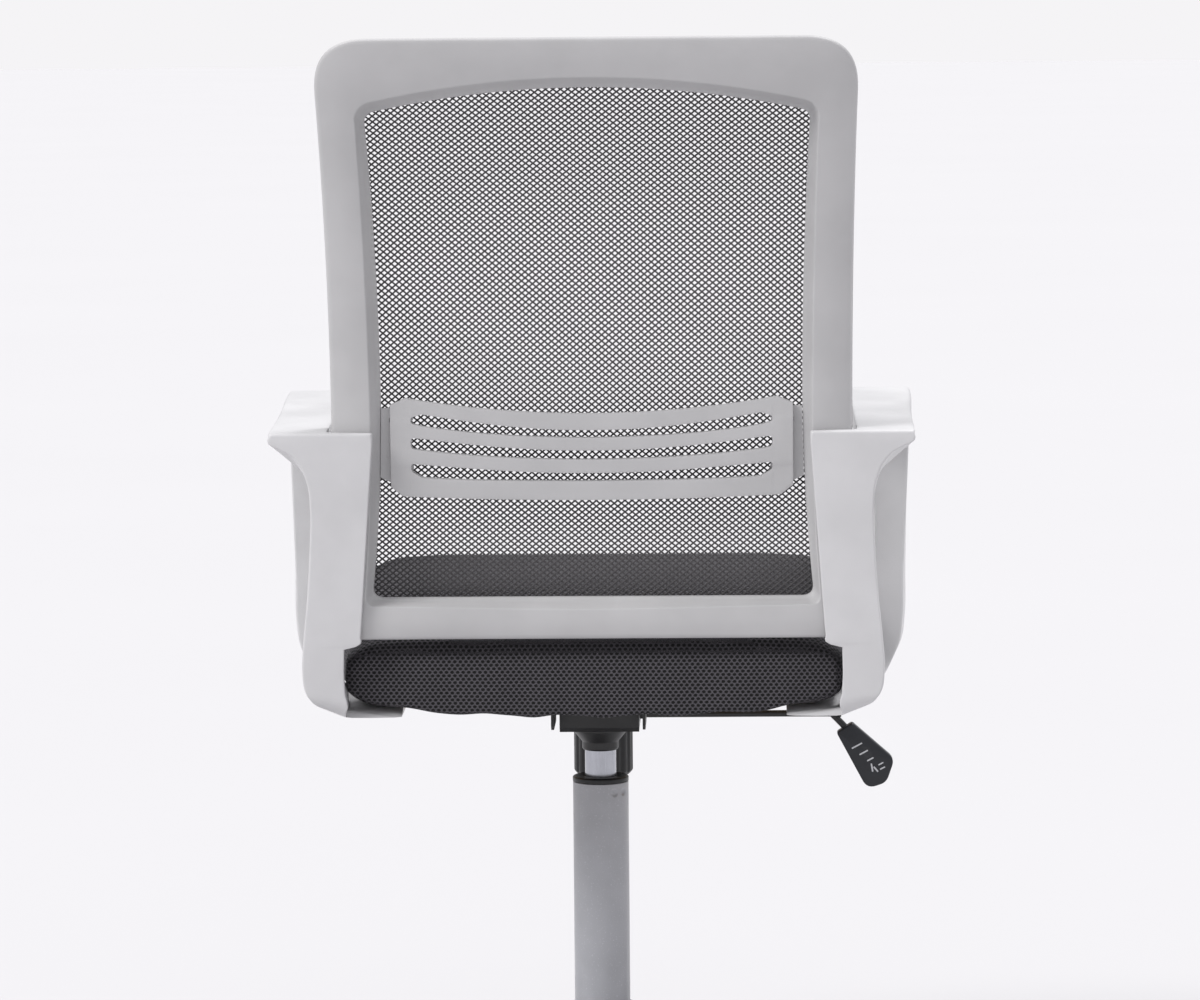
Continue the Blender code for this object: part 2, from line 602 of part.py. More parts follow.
def ring_between(outer, inner, depth_rear, depth_front, bevel):
    """Closed frame between two outlines, its section an oblong with bevelled edges."""
    rings = []
    for (ox, oz), (ix, iz) in zip(outer, inner):
        across = unit(ix - ox, iz - oz)
        bx, bz = across[0] * bevel, across[1] * bevel
        ring = []
        for x, z, d in ((ox, oz, depth_rear + bevel), (ox + bx, oz + bz, depth_rear),
                        (ix - bx, iz - bz, depth_rear), (ix, iz, depth_rear + bevel),
                        (ix, iz, depth_front - bevel), (ix - bx, iz - bz, depth_front),
                        (ox + bx, oz + bz, depth_front), (ox, oz, depth_front - bevel)):
            ring.append((x, back_y(z) + d, z))
        rings.append(ring)
    return loft(rings, closed=True)


def back(tilt):
    half_depth = BACK_DEPTH / 2
    outer = frame_outline(BACK_BOTTOM, BACK_TOP, back_outer_half, 0.006, 0.045)
    inner = frame_outline(BAR_TOP, OPENING_CORNER_Z, back_inner_half, 0.010, 0.008, OPENING_ARCH)
    frame = piece("back_frame", ring_between(outer, inner, -half_depth, half_depth, 0.003),
                  "back_grey_plastic", tilt)
    local = tuple(tilt["world"])
    holes = joined(*[rod_along_x(0.0030, min(side * 0.205, side * 0.24), max(side * 0.205, side * 0.24),
                                 frame_bolt_y(), FRAME_BOLT_Z, steps=14) for side in (-1, 1)])
    fit(combine(frame, moved(holes, *[-c for c in local]), "DIFFERENCE"), local)

    rim_outer = frame_outline(BACK_BOTTOM + 0.004, BACK_TOP - 0.004, lambda z: back_outer_half(z) - 0.006,
                              0.006, 0.042)
    rim_inner = frame_outline(BAR_TOP - 0.012, OPENING_CORNER_Z + 0.014, lambda z: back_inner_half(z) + 0.012,
                              0.010, 0.010, OPENING_ARCH)
    piece("net_rim", ring_between(rim_outer, rim_inner, half_depth + 0.0009, half_depth + 0.0055, 0.001),
          "back_grey_plastic", tilt)
    piece("back_net", net_sheet(half_depth + 0.0063, half_depth + 0.0078), "back_net", tilt)
    lumbar(tilt)


def net_sheet(rear, front):
    """Thin sheet in front of the rim, with round top corners."""
    low = BACK_BOTTOM + 0.006
    high = BACK_TOP - 0.006
    corner = 0.040
    heights = [low + (high - corner - low) * i / 16 for i in range(17)]
    heights += [high - corner + corner * sin(pi / 2 * i / 6) for i in range(1, 6)]
    rings = []
    for z in heights:
        inset = corner - sqrt(corner ** 2 - max(0.0, z - high + corner) ** 2)
        half = back_outer_half(z) - 0.008 - inset
        rings.append([(x, back_y(z) + d, z) for x, d in
                      ((-half, rear), (half, rear), (half, front), (-half, front))])
    return loft(rings)


LUMBAR_HALF = 0.1780        # half length of the lumbar support
LUMBAR_REAR = 0.0020        # its faces, measured forward from the frame's middle
LUMBAR_FRONT = 0.0100
SLOT_HALF = 0.1545          # half length of each slot
SLOT_RISE = 0.0042          # half height of each slot
LUMBAR_SLOTS = ((0.6618, 0.0173), (0.6435, 0.0135), (0.6245, 0.0079))     # middle height, rise


def smile(x, middle, rise):
    """Height of a line that rises evenly towards both ends."""
    return middle + rise * (x / 0.17) ** 2


def band(half, top, bottom, rear, front, steps=12):
    """Curved plate along X between two smiling lines, given as (middle, rise)."""
    rings = []
    for k in range(steps + 1):
        x = half * (2 * k / steps - 1)
        high = smile(x, *top)
        low = smile(x, *bottom)
        rings.append([(x, back_y(low) + rear, low), (x, back_y(high) + rear, high),
                      (x, back_y(high) + front, high), (x, back_y(low) + front, low)])
    return loft(rings)


def lumbar(tilt):
    slide = axis_empty("lumbar_slide", (0.0, back_y(0.65), 0.65), tilt)
    plate = piece("lumbar_support", band(LUMBAR_HALF, (0.6790, 0.0160), (0.6047, 0.0075), LUMBAR_REAR,
                                         LUMBAR_FRONT), "back_grey_plastic", slide)
    local = tuple(slide["world"])
    slots = [band(SLOT_HALF, (middle + SLOT_RISE, rise), (middle - SLOT_RISE, rise), -0.03, 0.03)
             for middle, rise in LUMBAR_SLOTS]
    fit(combine(plate, moved(joined(*slots), *[-c for c in local]), "DIFFERENCE"), local)


# ---------------------------------------------------------------- arms
FRAME_BOLT_Z = 0.560


def frame_bolt_y():
    return back_y(FRAME_BOLT_Z)


def arm_bolt_spots():
    """Where the arm bolts stand, (x, y)."""
    return [(side * 0.176, y) for side in (-1, 1) for y in (-0.120, -0.045)]


def arm_outer_x(y, z):
    """Outer face: a wide top, a waisted rear post, and a front post that tucks in at the foot."""
    rear = curve_through([(0.4135, 0.232), (0.440, 0.2485), (0.480, 0.2495), (0.575, 0.2415),
                          (0.625, 0.2460), (0.6640, 0.2755)], z)
    front = curve_through([(0.4135, 0.250), (0.490, 0.2790), (0.660, 0.2790), (0.672, 0.2820)], z)
    return rear + (front - rear) * curve_through([(-0.165, 0.0), (0.045, 1.0)], y)


def arm_inner_x(y, z):
    """Inner face: beside the seat below, and beside the back frame above."""
    rear = curve_through([(0.4400, 0.2125), (0.4600, 0.2258)], z)
    front = curve_through([(0.4180, 0.2270), (0.4262, 0.2400), (0.4340, 0.2430), (0.480, 0.2500),
                           (0.600, 0.2520), (0.655, 0.2255)], z)
    return rear + (front - rear) * curve_through([(-0.165, 0.0), (-0.015, 1.0)], y)


def arm_shape():
    """Right arm's loop, between an outer and an inner outline in the side view."""
    straights = [8, 3, 7, 3]
    outer = rounded_outline([(ARM_REAR + 0.004, ARM_FOOT_BOTTOM, 0.020), (ARM_REAR, ARM_TOP_REAR, 0.003),
                             (ARM_FRONT, ARM_TOP_FRONT, 0.024), (0.006, ARM_FOOT_BOTTOM, 0.030)],
                            straights, 5)
    inner = rounded_outline([(-0.176, ARM_FOOT_TOP, 0.014), (-0.170, 0.647, 0.020), (0.046, 0.660, 0.022),
                             (-0.020, ARM_FOOT_TOP, 0.022)], straights, 5)
    rings = []
    for (oy, oz), (iy, iz) in zip(outer, inner):
        rings.append([(arm_inner_x(oy, oz), oy, oz), (arm_outer_x(oy, oz), oy, oz),
                      (arm_outer_x(iy, iz), iy, iz), (arm_inner_x(iy, iz), iy, iz)])
    return loft(rings, closed=True)


def rear_panel():
    """Rear wall of the arm, which covers the back frame's post from behind."""
    rings = []
    for y in (ARM_REAR + 0.0008, back_y(FRAME_BOLT_Z) - 0.0170):
        rings.append([(0.1985, y, 0.4870), (0.2350, y, 0.4870), (0.2350, y, 0.6600), (0.1860, y, 0.6600)])
    return loft(rings)


def arms(tilt):
    """The right arm, and the left arm as its mirror image."""
    local = tuple(tilt["world"])
    right = piece("arm_right", arm_shape(), "light_grey_plastic", tilt)
    tab = box((0.165, -0.1900, ARM_FOOT_BOTTOM + 0.0005), (0.230, -0.0250, ARM_FOOT_TOP - 0.0002))
    for addition in (rear_panel(), tab):
        fit(combine(right, moved(addition, *[-c for c in local]), "UNION"), local)
    holes = [turned([(0.0035, 0.40), (0.0035, 0.44)], steps=14, centre=spot)
             for spot in arm_bolt_spots() if spot[0] > 0]
    holes.append(rod_along_x(0.0033, 0.215, 0.2335, frame_bolt_y(), FRAME_BOLT_Z, steps=14))
    fit(combine(right, moved(joined(*holes), *[-c for c in local]), "DIFFERENCE"), local)
    bpy.context.view_layer.update()
    shape = bpy.data.meshes.new_from_object(right.evaluated_get(bpy.context.evaluated_depsgraph_get()))
    shape.transform(Matrix.Scale(-1.0, 4, (1.0, 0.0, 0.0)))
    shape.flip_normals()
    piece("arm_left", shape, "light_grey_plastic", tilt)


def bolts(tilt):
    for i, (x, y) in enumerate(arm_bolt_spots()):
        word = "left" if x < 0 else "right"
        place = "rear" if y < -0.08 else "front"
        head = ARM_FOOT_BOTTOM - GAP
        profile = [(0.0048, head - 0.0040), (0.0055, head - 0.0032), (0.0055, head), (0.0030, head),
                   (0.0030, 0.4355)]
        bolt = turned(profile, steps=14, centre=(x, y))
        piece(f"arm_bolt_{word}_{place}", bolt, "zinc_steel", tilt)
    for side, word in ((-1, "left"), (1, "right")):
        ends = sorted((side * 0.2065, side * 0.2325))
        bolt = rod_along_x(0.0027, ends[0], ends[1], frame_bolt_y(), FRAME_BOLT_Z, steps=14)
        piece(f"frame_bolt_{word}", bolt, "zinc_steel", tilt)


# ---------------------------------------------------------------- the whole chair
def build():
    for obj in list(bpy.data.objects):
        bpy.data.objects.remove(obj, do_unlink=True)
    star_base()
    shared_hood = hood_mesh()
    for i, angle in enumerate(leg_angles()):
        castor(i + 1, angle, shared_hood)
    spin = axis_empty("seat_swivel", (0.0, 0.0, 0.0))
    gas_column(spin)
    mechanism(spin)
    tilt = axis_empty("tilt", (0.0, TILT_Y, TILT_Z), spin)
    seat(tilt)
    back(tilt)
    arms(tilt)
    bolts(tilt)


build()
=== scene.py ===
"""Swivel chair with a net back: the fine surfaces, finishes, studio and camera round the fixed frame.

Metres, +Z up. The origin is on the floor under the gas column, and the sitter faces +Y.
"""

from math import cos, pi, radians, sin

import bpy
import numpy as np
from mathutils import Matrix, Vector


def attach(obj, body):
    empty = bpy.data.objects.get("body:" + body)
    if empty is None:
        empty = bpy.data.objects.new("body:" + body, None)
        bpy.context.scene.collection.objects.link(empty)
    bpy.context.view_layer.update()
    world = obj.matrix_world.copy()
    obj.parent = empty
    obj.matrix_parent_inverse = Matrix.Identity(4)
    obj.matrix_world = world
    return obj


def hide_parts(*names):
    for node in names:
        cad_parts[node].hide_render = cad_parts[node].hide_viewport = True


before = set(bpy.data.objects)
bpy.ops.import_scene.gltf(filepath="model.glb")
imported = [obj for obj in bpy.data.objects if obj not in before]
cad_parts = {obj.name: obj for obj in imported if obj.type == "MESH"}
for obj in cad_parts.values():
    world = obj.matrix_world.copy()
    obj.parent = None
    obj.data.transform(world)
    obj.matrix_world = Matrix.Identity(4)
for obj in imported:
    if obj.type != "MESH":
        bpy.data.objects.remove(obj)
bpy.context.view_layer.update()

# ---------------------------------------------------------------- shapes shared with the frame
BACK_Y = -0.198             # middle of the back frame at its most forward height
BACK_WAIST_Z = 0.58
BACK_CURVE = 0.57
HALF_DEPTH = 0.011          # half the back frame's thickness
BAR_TOP = 0.521              # top of the frame's lower bar
OPENING_CORNER_Z = 0.937     # top corners of the opening
OPENING_ARCH = 0.021         # how far the opening's top edge rises in the middle
LEVER_Y, LEVER_Z = 0.030, 0.386   # the lever rod's own axis, along X
CASTOR_CIRCLE = 0.300        # stems from the column's axis
TRAIL = -0.018               # wheels' axle from the stem's axis
WHEEL_RADIUS = 0.025


# ---------------------------------------------------------------- curves
def spline(table, at):
    """Smooth curve through (place, value) rows: a cubic between neighbours whose slope at each row is
    the slope of the line through the rows on either side of it; level beyond the ends."""
    place, value = np.array(table, float).T
    at = np.clip(np.asarray(at, float), place[0], place[-1])
    slope = np.gradient(value, place)
    i = np.clip(np.searchsorted(place, at, side="right") - 1, 0, len(place) - 2)
    step = place[i + 1] - place[i]
    t = (at - place[i]) / step
    return ((2 * t**3 - 3 * t**2 + 1) * value[i] + (t**3 - 2 * t**2 + t) * step * slope[i]
            + (3 * t**2 - 2 * t**3) * value[i + 1] + (t**3 - t**2) * step * slope[i + 1])


def ease(at, start, end):
    """0 before start, 1 after end, and a smooth S between them."""
    t = np.clip((np.asarray(at, float) - start) / (end - start), 0.0, 1.0)
    return t * t * (3 - 2 * t)


def bend(before, corner, after, radius, steps):
    """Points of a quadratic curve that leaves the run to a corner a radius early and joins the next run
    a radius late; before, corner and after are arrays of points, and the answer has a new axis 1."""
    to_before, to_after = before - corner, after - corner
    long_before = np.linalg.norm(to_before, axis=-1, keepdims=True) + 1e-12
    long_after = np.linalg.norm(to_after, axis=-1, keepdims=True) + 1e-12
    start = corner + to_before / long_before * np.minimum(radius, 0.46 * long_before)
    end = corner + to_after / long_after * np.minimum(radius, 0.46 * long_after)
    t = np.linspace(0, 1, steps + 1).reshape((1, -1, 1))
    return (1 - t) ** 2 * start[:, None] + 2 * t * (1 - t) * corner[:, None] + t * t * end[:, None]


def rounded_rings(corners, radii, steps=4):
    """Rings with softened corners: corners is (rings, corners, 3), radii one value for each corner."""
    parts = []
    total = corners.shape[1]
    for j in range(total):
        radius = np.asarray(radii[j], float)
        radius = radius.reshape((-1, 1)) if radius.ndim else radius
        parts.append(bend(corners[:, j - 1], corners[:, j], corners[:, (j + 1) % total], radius, steps))
    return np.concatenate(parts, axis=1)


def rounded_loop(corners, radii, counts, arc_steps):
    """Closed flat outline: each corner is a quadratic curve, and the run after it has counts points."""
    corners = np.array(corners, float)
    total = len(corners)
    arcs = []
    for i in range(total):
        a = corners[i - 1] - corners[i]
        b = corners[(i + 1) % total] - corners[i]
        a, b = a / np.linalg.norm(a), b / np.linalg.norm(b)
        reach = radii[i] * np.sqrt((1 + a @ b) / (1 - a @ b))
        t = np.linspace(0, 1, arc_steps + 1)[:, None]
        start, end = corners[i] + a * reach, corners[i] + b * reach
        arcs.append((1 - t) ** 2 * start + 2 * t * (1 - t) * corners[i] + t * t * end)
    parts = []
    for i in range(total):
        parts.append(arcs[i])
        t = np.linspace(0, 1, counts[i] + 2)[1:-1, None]
        parts.append(arcs[i][-1] * (1 - t) + arcs[(i + 1) % total][0] * t)
    return np.concatenate(parts)


# ---------------------------------------------------------------- meshes
def grid_faces(rows, cols, wrap_rows=False, wrap_cols=True, start=0):
    """Four-sided faces over a grid of points, row by row."""
    i = np.arange(rows if wrap_rows else rows - 1)[:, None]
    j = np.arange(cols if wrap_cols else cols - 1)[None, :]
    low, high = i * cols, (i + 1) % rows * cols
    k = (j + 1) % cols
    faces = np.stack([low + j, low + k, high + k, high + j], axis=-1)
    return faces.reshape(-1, 4) + start


def skin(points, wrap_rows=False):
    """Closed surface over rings of points (rings, ring, 3): ends are closed with fans to their middles,
    or the last ring joins the first. Faces are turned outwards by the sign of the enclosed volume."""
    rows, cols = points.shape[:2]
    verts = points.reshape(-1, 3)
    quads = grid_faces(rows, cols, wrap_rows)
    fans = np.zeros((0, 3), int)
    if not wrap_rows:
        j = np.arange(cols)
        k = (j + 1) % cols
        first, last = len(verts), len(verts) + 1
        verts = np.concatenate([verts, points[:1].mean(axis=1), points[-1:].mean(axis=1)])
        base = (rows - 1) * cols
        fans = np.concatenate([np.stack([np.full(cols, first), k, j], axis=-1),
                               np.stack([np.full(cols, last), base + j, base + k], axis=-1)])
    corner = verts - verts.mean(axis=0)
    a, b, c, d = (corner[quads[:, n]] for n in range(4))
    volume = (a * np.cross(b, c)).sum() + (a * np.cross(c, d)).sum()
    a, b, c = (corner[fans[:, n]] for n in range(3))
    volume += (a * np.cross(b, c)).sum()
    if volume < 0:
        quads, fans = quads[:, ::-1], fans[:, ::-1]
    return verts, quads.tolist() + fans.tolist()


def together(*shapes):
    """Several closed surfaces in one mesh."""
    verts, faces, start = [], [], 0
    for shape_verts, shape_faces in shapes:
        verts.append(shape_verts)
        faces += [[start + n for n in face] for face in shape_faces]
        start += len(shape_verts)
    return np.concatenate(verts), faces


def flipped(shape):
    """The mirror image across the chair's middle plane, still facing outwards."""
    verts, faces = shape
    return verts * np.array([-1.0, 1.0, 1.0]), [face[::-1] for face in faces]


def shifted(shape, dx, dy):
    return shape[0] + np.array([dx, dy, 0.0]), shape[1]


def turned_z(shape, angle):
    """The shape turned about the column's axis."""
    verts, faces = shape
    turn = np.array([[cos(angle), -sin(angle), 0], [sin(angle), cos(angle), 0], [0, 0, 1]])
    return verts @ turn.T, faces


def linked(name, data):
    """New object at the origin that holds the data."""
    obj = bpy.data.objects.new(name, data)
    bpy.context.scene.collection.objects.link(obj)
    return obj


def adopted(obj, body, replaces=()):
    """The object rides with a body of the frame and stands for its nodes."""
    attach(obj, body)
    if replaces:
        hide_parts(*replaces)
    return obj


def add_piece(name, shape, material, body, replaces=(), crease=40):
    """One visible piece that moves with a body of the frame."""
    verts, faces = shape
    mesh = bpy.data.meshes.new(name)
    mesh.from_pydata(verts.tolist(), [], faces)
    mesh.materials.append(material)
    mesh.shade_smooth()
    mesh.set_sharp_from_angle(angle=radians(crease))
    return adopted(linked(name, mesh), body, replaces)


def stand_in(node, shape, material, body):
    """A piece that takes the name and the place of one node of the frame."""
    return add_piece(node, shape, material, body, [node])


def softened(profile, radius, closed, steps=4):
    """Profile (radius, height) with each inner corner rounded."""
    points = np.array(profile, float)
    total = len(points)
    parts = []
    for i in range(total):
        if not closed and i in (0, total - 1):
            parts.append(points[i:i + 1])
            continue
        arc = bend(points[i - 1][None], points[i][None], points[(i + 1) % total][None], radius, steps)
        parts.append(arc[0])
    return np.concatenate(parts)


def lathe(profile, centre=(0.0, 0.0), radius=0.0006, bore=False, steps=72, wave=None):
    """Profile (radius, height) turned about a vertical axis; bore joins its last point to its first.
    wave, a function of angle and profile row, adds to the radius."""
    line = softened(profile, radius, bore)
    angle = np.arange(steps) * 2 * pi / steps
    r = line[:, 0][:, None] + np.zeros(steps)
    if wave is not None:
        r = r + wave(angle[None, :], line)
    points = np.stack([centre[0] + r * np.cos(angle), centre[1] + r * np.sin(angle),
                       line[:, 1][:, None] + 0 * r], axis=-1)
    return skin(points, wrap_rows=bore)


def lathe_x(profile, y, z, radius=0.0004, bore=False, steps=48):
    """Profile (radius, x) turned about an axis along X."""
    line = softened(profile, radius, bore)
    angle = np.arange(steps) * 2 * pi / steps
    points = np.stack([line[:, 1][:, None] + 0 * angle, y + line[:, 0][:, None] * np.cos(angle),
                       z + line[:, 0][:, None] * np.sin(angle)], axis=-1)
    return skin(points, wrap_rows=bore)


def tube(route, radius, sides=16, smooth=5):
    """Round tube along a smooth curve through the route's points; each ring is square to the run."""
    route = np.array(route, float)
    at = np.arange(len(route))
    fine = np.linspace(0, len(route) - 1, (len(route) - 1) * smooth + 1)
    path = np.stack([spline(np.stack([at, route[:, k]], axis=-1), fine) for k in range(3)], axis=-1)
    ahead = np.gradient(path, axis=0)
    ahead /= np.linalg.norm(ahead, axis=1, keepdims=True)
    across = np.array([0.0, 0.0, 1.0])
    rings = []
    angle = np.arange(sides) * 2 * pi / sides
    for point, forward in zip(path, ahead):
        side = np.cross(forward, across)
        side /= np.linalg.norm(side)
        across = np.cross(side, forward)
        rings.append(point + radius * (np.cos(angle)[:, None] * side + np.sin(angle)[:, None] * across))
    return skin(np.array(rings))


def slab(outline, rear, front, radius=0.001, axis=1, steps=3):
    """Flat outline extruded along one axis, with its edges rounded by insetting the end rings."""
    outline = np.array(outline, float)
    ahead = np.roll(outline, -1, axis=0) - np.roll(outline, 1, axis=0)
    normal = np.stack([ahead[:, 1], -ahead[:, 0]], axis=-1)
    normal /= np.linalg.norm(normal, axis=1, keepdims=True) + 1e-12
    area = (outline[:, 0] * np.roll(outline[:, 1], -1) - outline[:, 1] * np.roll(outline[:, 0], -1)).sum()
    normal *= -1 if area > 0 else 1
    turn = np.linspace(0, pi / 2, steps + 1)
    rings = []
    for t in turn:
        rings.append((outline + normal * radius * (1 - np.sin(t)), rear + radius * (1 - np.cos(t))))
    for t in turn[::-1]:
        rings.append((outline + normal * radius * (1 - np.sin(t)), front - radius * (1 - np.cos(t))))
    return skin(np.stack([np.insert(flat, axis, level, axis=1) for flat, level in rings]))


# ---------------------------------------------------------------- finishes
class Shader:
    """A few words for building a node tree, of a material or of a shared group."""

    def __init__(self, tree):
        self.tree = tree

    def node(self, kind, **settings):
        made = self.tree.nodes.new(kind)
        for key, value in settings.items():
            setattr(made, key, value)
        return made

    def set(self, socket, value):
        if isinstance(value, bpy.types.NodeSocket):
            self.tree.links.new(value, socket)
        elif socket.type == "RGBA" and len(value) == 3:
            socket.default_value = (*value, 1.0)
        else:
            socket.default_value = value

    def math(self, operation, a, b=0.5):
        made = self.node("ShaderNodeMath", operation=operation)
        for socket, value in zip(made.inputs, (a, b)):
            self.set(socket, value)
        return made.outputs[0]

    def plus(self, a, b):
        return self.math("ADD", a, b)

    def less(self, a, b):
        return self.math("SUBTRACT", a, b)

    def times(self, a, b):
        return self.math("MULTIPLY", a, b)

    def over(self, a, b):
        return self.math("DIVIDE", a, b)

    def between(self, share, a, b):
        """a where share is 1, b where it is 0."""
        return self.plus(self.times(share, a), self.times(self.less(1.0, share), b))

    def object_point(self):
        return self.node("ShaderNodeTexCoord").outputs["Object"]

    def split(self, vector):
        made = self.node("ShaderNodeSeparateXYZ")
        self.set(made.inputs[0], vector)
        return made.outputs

    def noise(self, point, scale, detail=3.0, rough=0.55):
        made = self.node("ShaderNodeTexNoise")
        for key, value in (("Vector", point), ("Scale", scale), ("Detail", detail), ("Roughness", rough)):
            self.set(made.inputs[key], value)
        return made.outputs["Fac"]

    def cells(self, point, scale, feature="F1"):
        made = self.node("ShaderNodeTexVoronoi", feature=feature)
        self.set(made.inputs["Vector"], point)
        self.set(made.inputs["Scale"], scale)
        return made.outputs["Distance"]

    def stretched(self, point, factors):
        made = self.node("ShaderNodeVectorMath", operation="MULTIPLY")
        self.set(made.inputs[0], point)
        self.set(made.inputs[1], factors)
        return made.outputs[0]

    def ramp(self, value, low, high, to_low=0.0, to_high=1.0):
        made = self.node("ShaderNodeMapRange", interpolation_type="SMOOTHSTEP")
        for socket, given in zip(made.inputs, (value, low, high, to_low, to_high)):
            self.set(socket, given)
        return made.outputs["Result"]

    def mix(self, factor, a, b):
        made = self.node("ShaderNodeMix", data_type="RGBA")
        self.set(made.inputs["Factor"], factor)
        self.set(made.inputs[6], a)
        self.set(made.inputs[7], b)
        return made.outputs[2]

    def bump(self, height, distance, strength=1.0, normal=None):
        made = self.node("ShaderNodeBump")
        self.set(made.inputs["Height"], height)
        self.set(made.inputs["Distance"], distance)
        self.set(made.inputs["Strength"], strength)
        if normal is not None:
            self.set(made.inputs["Normal"], normal)
        return made.outputs["Normal"]


def shared_group(name, inputs, outputs, fill):
    """Node group with (name, kind, value) inputs; fill(shader, given) returns what goes out, by name."""
    tree = bpy.data.node_groups.new(name, "ShaderNodeTree")
    for label, kind, value in inputs:
        tree.interface.new_socket(label, in_out="INPUT", socket_type=kind).default_value = value
    for label, kind in outputs:
        tree.interface.new_socket(label, in_out="OUTPUT", socket_type=kind)
    shader = Shader(tree)
    given = tree.nodes.new("NodeGroupInput").outputs
    result = tree.nodes.new("NodeGroupOutput").inputs
    for label, value in fill(shader, given).items():
        shader.set(result[label], value)
    return tree


def fill_grain(s, given):
    """Spark-eroded grain of moulded plastic: fine pebbles over a slow unevenness from the mould."""
    point = s.object_point()
    pebble = s.cells(point, given["Scale"])
    fine = s.noise(point, s.times(given["Scale"], 2.3), 2.0)
    slow = s.noise(point, 14.0, 3.0)
    height = s.plus(pebble, s.times(fine, 0.6))
    normal = s.bump(height, given["Depth"], 0.6)
    wave = s.bump(s.noise(point, 9.0, 1.0), 0.0004, 0.5, normal)
    return {"Shade": s.ramp(slow, 0.25, 0.75), "Dust": s.ramp(s.noise(point, 60.0, 4.0, 0.7), 0.55, 0.8),
            "Normal": wave}


def fill_knit(s, given):
    """Spacer knit: staggered rows of oval holes between rounded ribs of yarn. Along and Up count holes. The
    hole mask also carries the painted shade that darkens the holes.
    """
    column = given["Along"]
    row = given["Up"]
    odd = s.times(s.math("MODULO", s.math("FLOOR", row), 2.0), 0.5)
    x = s.less(s.math("FRACT", s.plus(column, odd)), 0.5)
    y = s.less(s.math("FRACT", row), 0.5)
    reach = s.math("SQRT", s.plus(s.math("POWER", s.over(x, 0.35), 2.0),
                                  s.math("POWER", s.over(y, 0.45), 2.0)))
    # Mask of the holes: it shapes the bump, and in the colour it carries painted shade into the holes.
    shaded_hole = s.ramp(reach, 1.10, 0.80)
    point = s.object_point()
    yarn = s.math("SINE", s.times(s.plus(column, s.times(row, 0.6)), 38.0))
    fuzz = s.noise(point, 1600.0, 2.0)
    twist = s.plus(s.times(yarn, 0.5), fuzz)
    height = s.plus(s.less(1.0, shaded_hole), s.times(twist, 0.22))
    # The twist mask is real yarn texture, and in the colour it places a painted highlight.
    return {"Painted hole shade": shaded_hole, "Yarn twist highlight": s.ramp(twist, 0.1, 1.2), "Normal": s.bump(height, 0.0007, 0.8)}


def fill_metal(s, given):
    """Fine wear on metal: brushed streaks along one axis and a faint cloudiness."""
    point = s.object_point()
    streak = s.noise(s.stretched(point, (1.0, 1.0, 0.06)), given["Scale"], 4.0, 0.7)
    cloud = s.noise(point, 35.0, 3.0)
    return {"Wear": s.ramp(streak, 0.35, 0.7), "Cloud": s.ramp(cloud, 0.3, 0.7),
            "Normal": s.bump(streak, given["Depth"], 0.5)}


def fill_coat(s, given):
    """Powder coat on pressed steel: a soft orange peel with scattered specks."""
    point = s.object_point()
    peel = s.cells(point, 900.0, "SMOOTH_F1")
    speck = s.ramp(s.noise(point, 700.0, 2.0), 0.62, 0.72)
    return {"Speck": speck, "Cloud": s.ramp(s.noise(point, 25.0, 2.0), 0.3, 0.7),
            "Normal": s.bump(peel, 0.00012, 0.6)}


VALUE, VECTOR = "NodeSocketFloat", "NodeSocketVector"
GRAIN = shared_group("Moulded grain", [("Scale", VALUE, 1400.0), ("Depth", VALUE, 0.00008)],
                     [("Shade", VALUE), ("Dust", VALUE), ("Normal", VECTOR)], fill_grain)
KNIT = shared_group("Spacer knit", [("Along", VALUE, 0.0), ("Up", VALUE, 0.0)],
                    [("Painted hole shade", VALUE), ("Yarn twist highlight", VALUE), ("Normal", VECTOR)], fill_knit)
METAL = shared_group("Worn metal", [("Scale", VALUE, 900.0), ("Depth", VALUE, 0.00003)],
                     [("Wear", VALUE), ("Cloud", VALUE), ("Normal", VECTOR)], fill_metal)
COAT = shared_group("Powder coat", [], [("Speck", VALUE), ("Cloud", VALUE), ("Normal", VECTOR)], fill_coat)


def new_material(name, **constants):
    """(material, shader, Principled) with the given constants on the Principled's own sockets."""
    material = bpy.data.materials.new(name)
    material.use_nodes = True
    surface = material.node_tree.nodes["Principled BSDF"]
    for key, value in constants.items():
        surface.inputs[key.replace("_", " ")].default_value = value
    return material, Shader(material.node_tree), surface


def use_group(s, tree, **given):
    made = s.node("ShaderNodeGroup", node_tree=tree)
    for key, value in given.items():
        s.set(made.inputs[key], value)
    return made.outputs


def scaled(colour, factor, extra=0.0):
    return tuple(min(1.0, c * factor + extra) for c in colour)


def plastic(name, colour, rough=0.45, scale=1400.0, depth=0.00008, contrast=0.05):
    """Moulded plastic with grain, slow shade changes and a little dust."""
    material, s, surface = new_material(name, IOR=1.46)
    grain = use_group(s, GRAIN, Scale=scale, Depth=depth)
    base = s.mix(grain["Shade"], scaled(colour, 1 - contrast), scaled(colour, 1 + contrast))
    dusty = scaled(colour, 0.75, 0.25 * 0.45)
    s.set(surface.inputs["Base Color"], s.mix(s.times(grain["Dust"], 0.22), base, dusty))
    s.set(surface.inputs["Roughness"], s.ramp(grain["Shade"], 0.0, 1.0, rough - 0.05, rough + 0.05))
    s.set(surface.inputs["Normal"], grain["Normal"])
    return material


def metal(name, colour, rough, scale=900.0, depth=0.00003, dark=0.75):
    """Bare metal with fine brushed wear."""
    material, s, surface = new_material(name, Metallic=1.0)
    wear = use_group(s, METAL, Scale=scale, Depth=depth)
    s.set(surface.inputs["Base Color"], s.mix(wear["Wear"], scaled(colour, dark), colour))
    s.set(surface.inputs["Roughness"], s.ramp(wear["Cloud"], 0.0, 1.0, rough * 0.8, rough * 1.25))
    s.set(surface.inputs["Normal"], wear["Normal"])
    return material


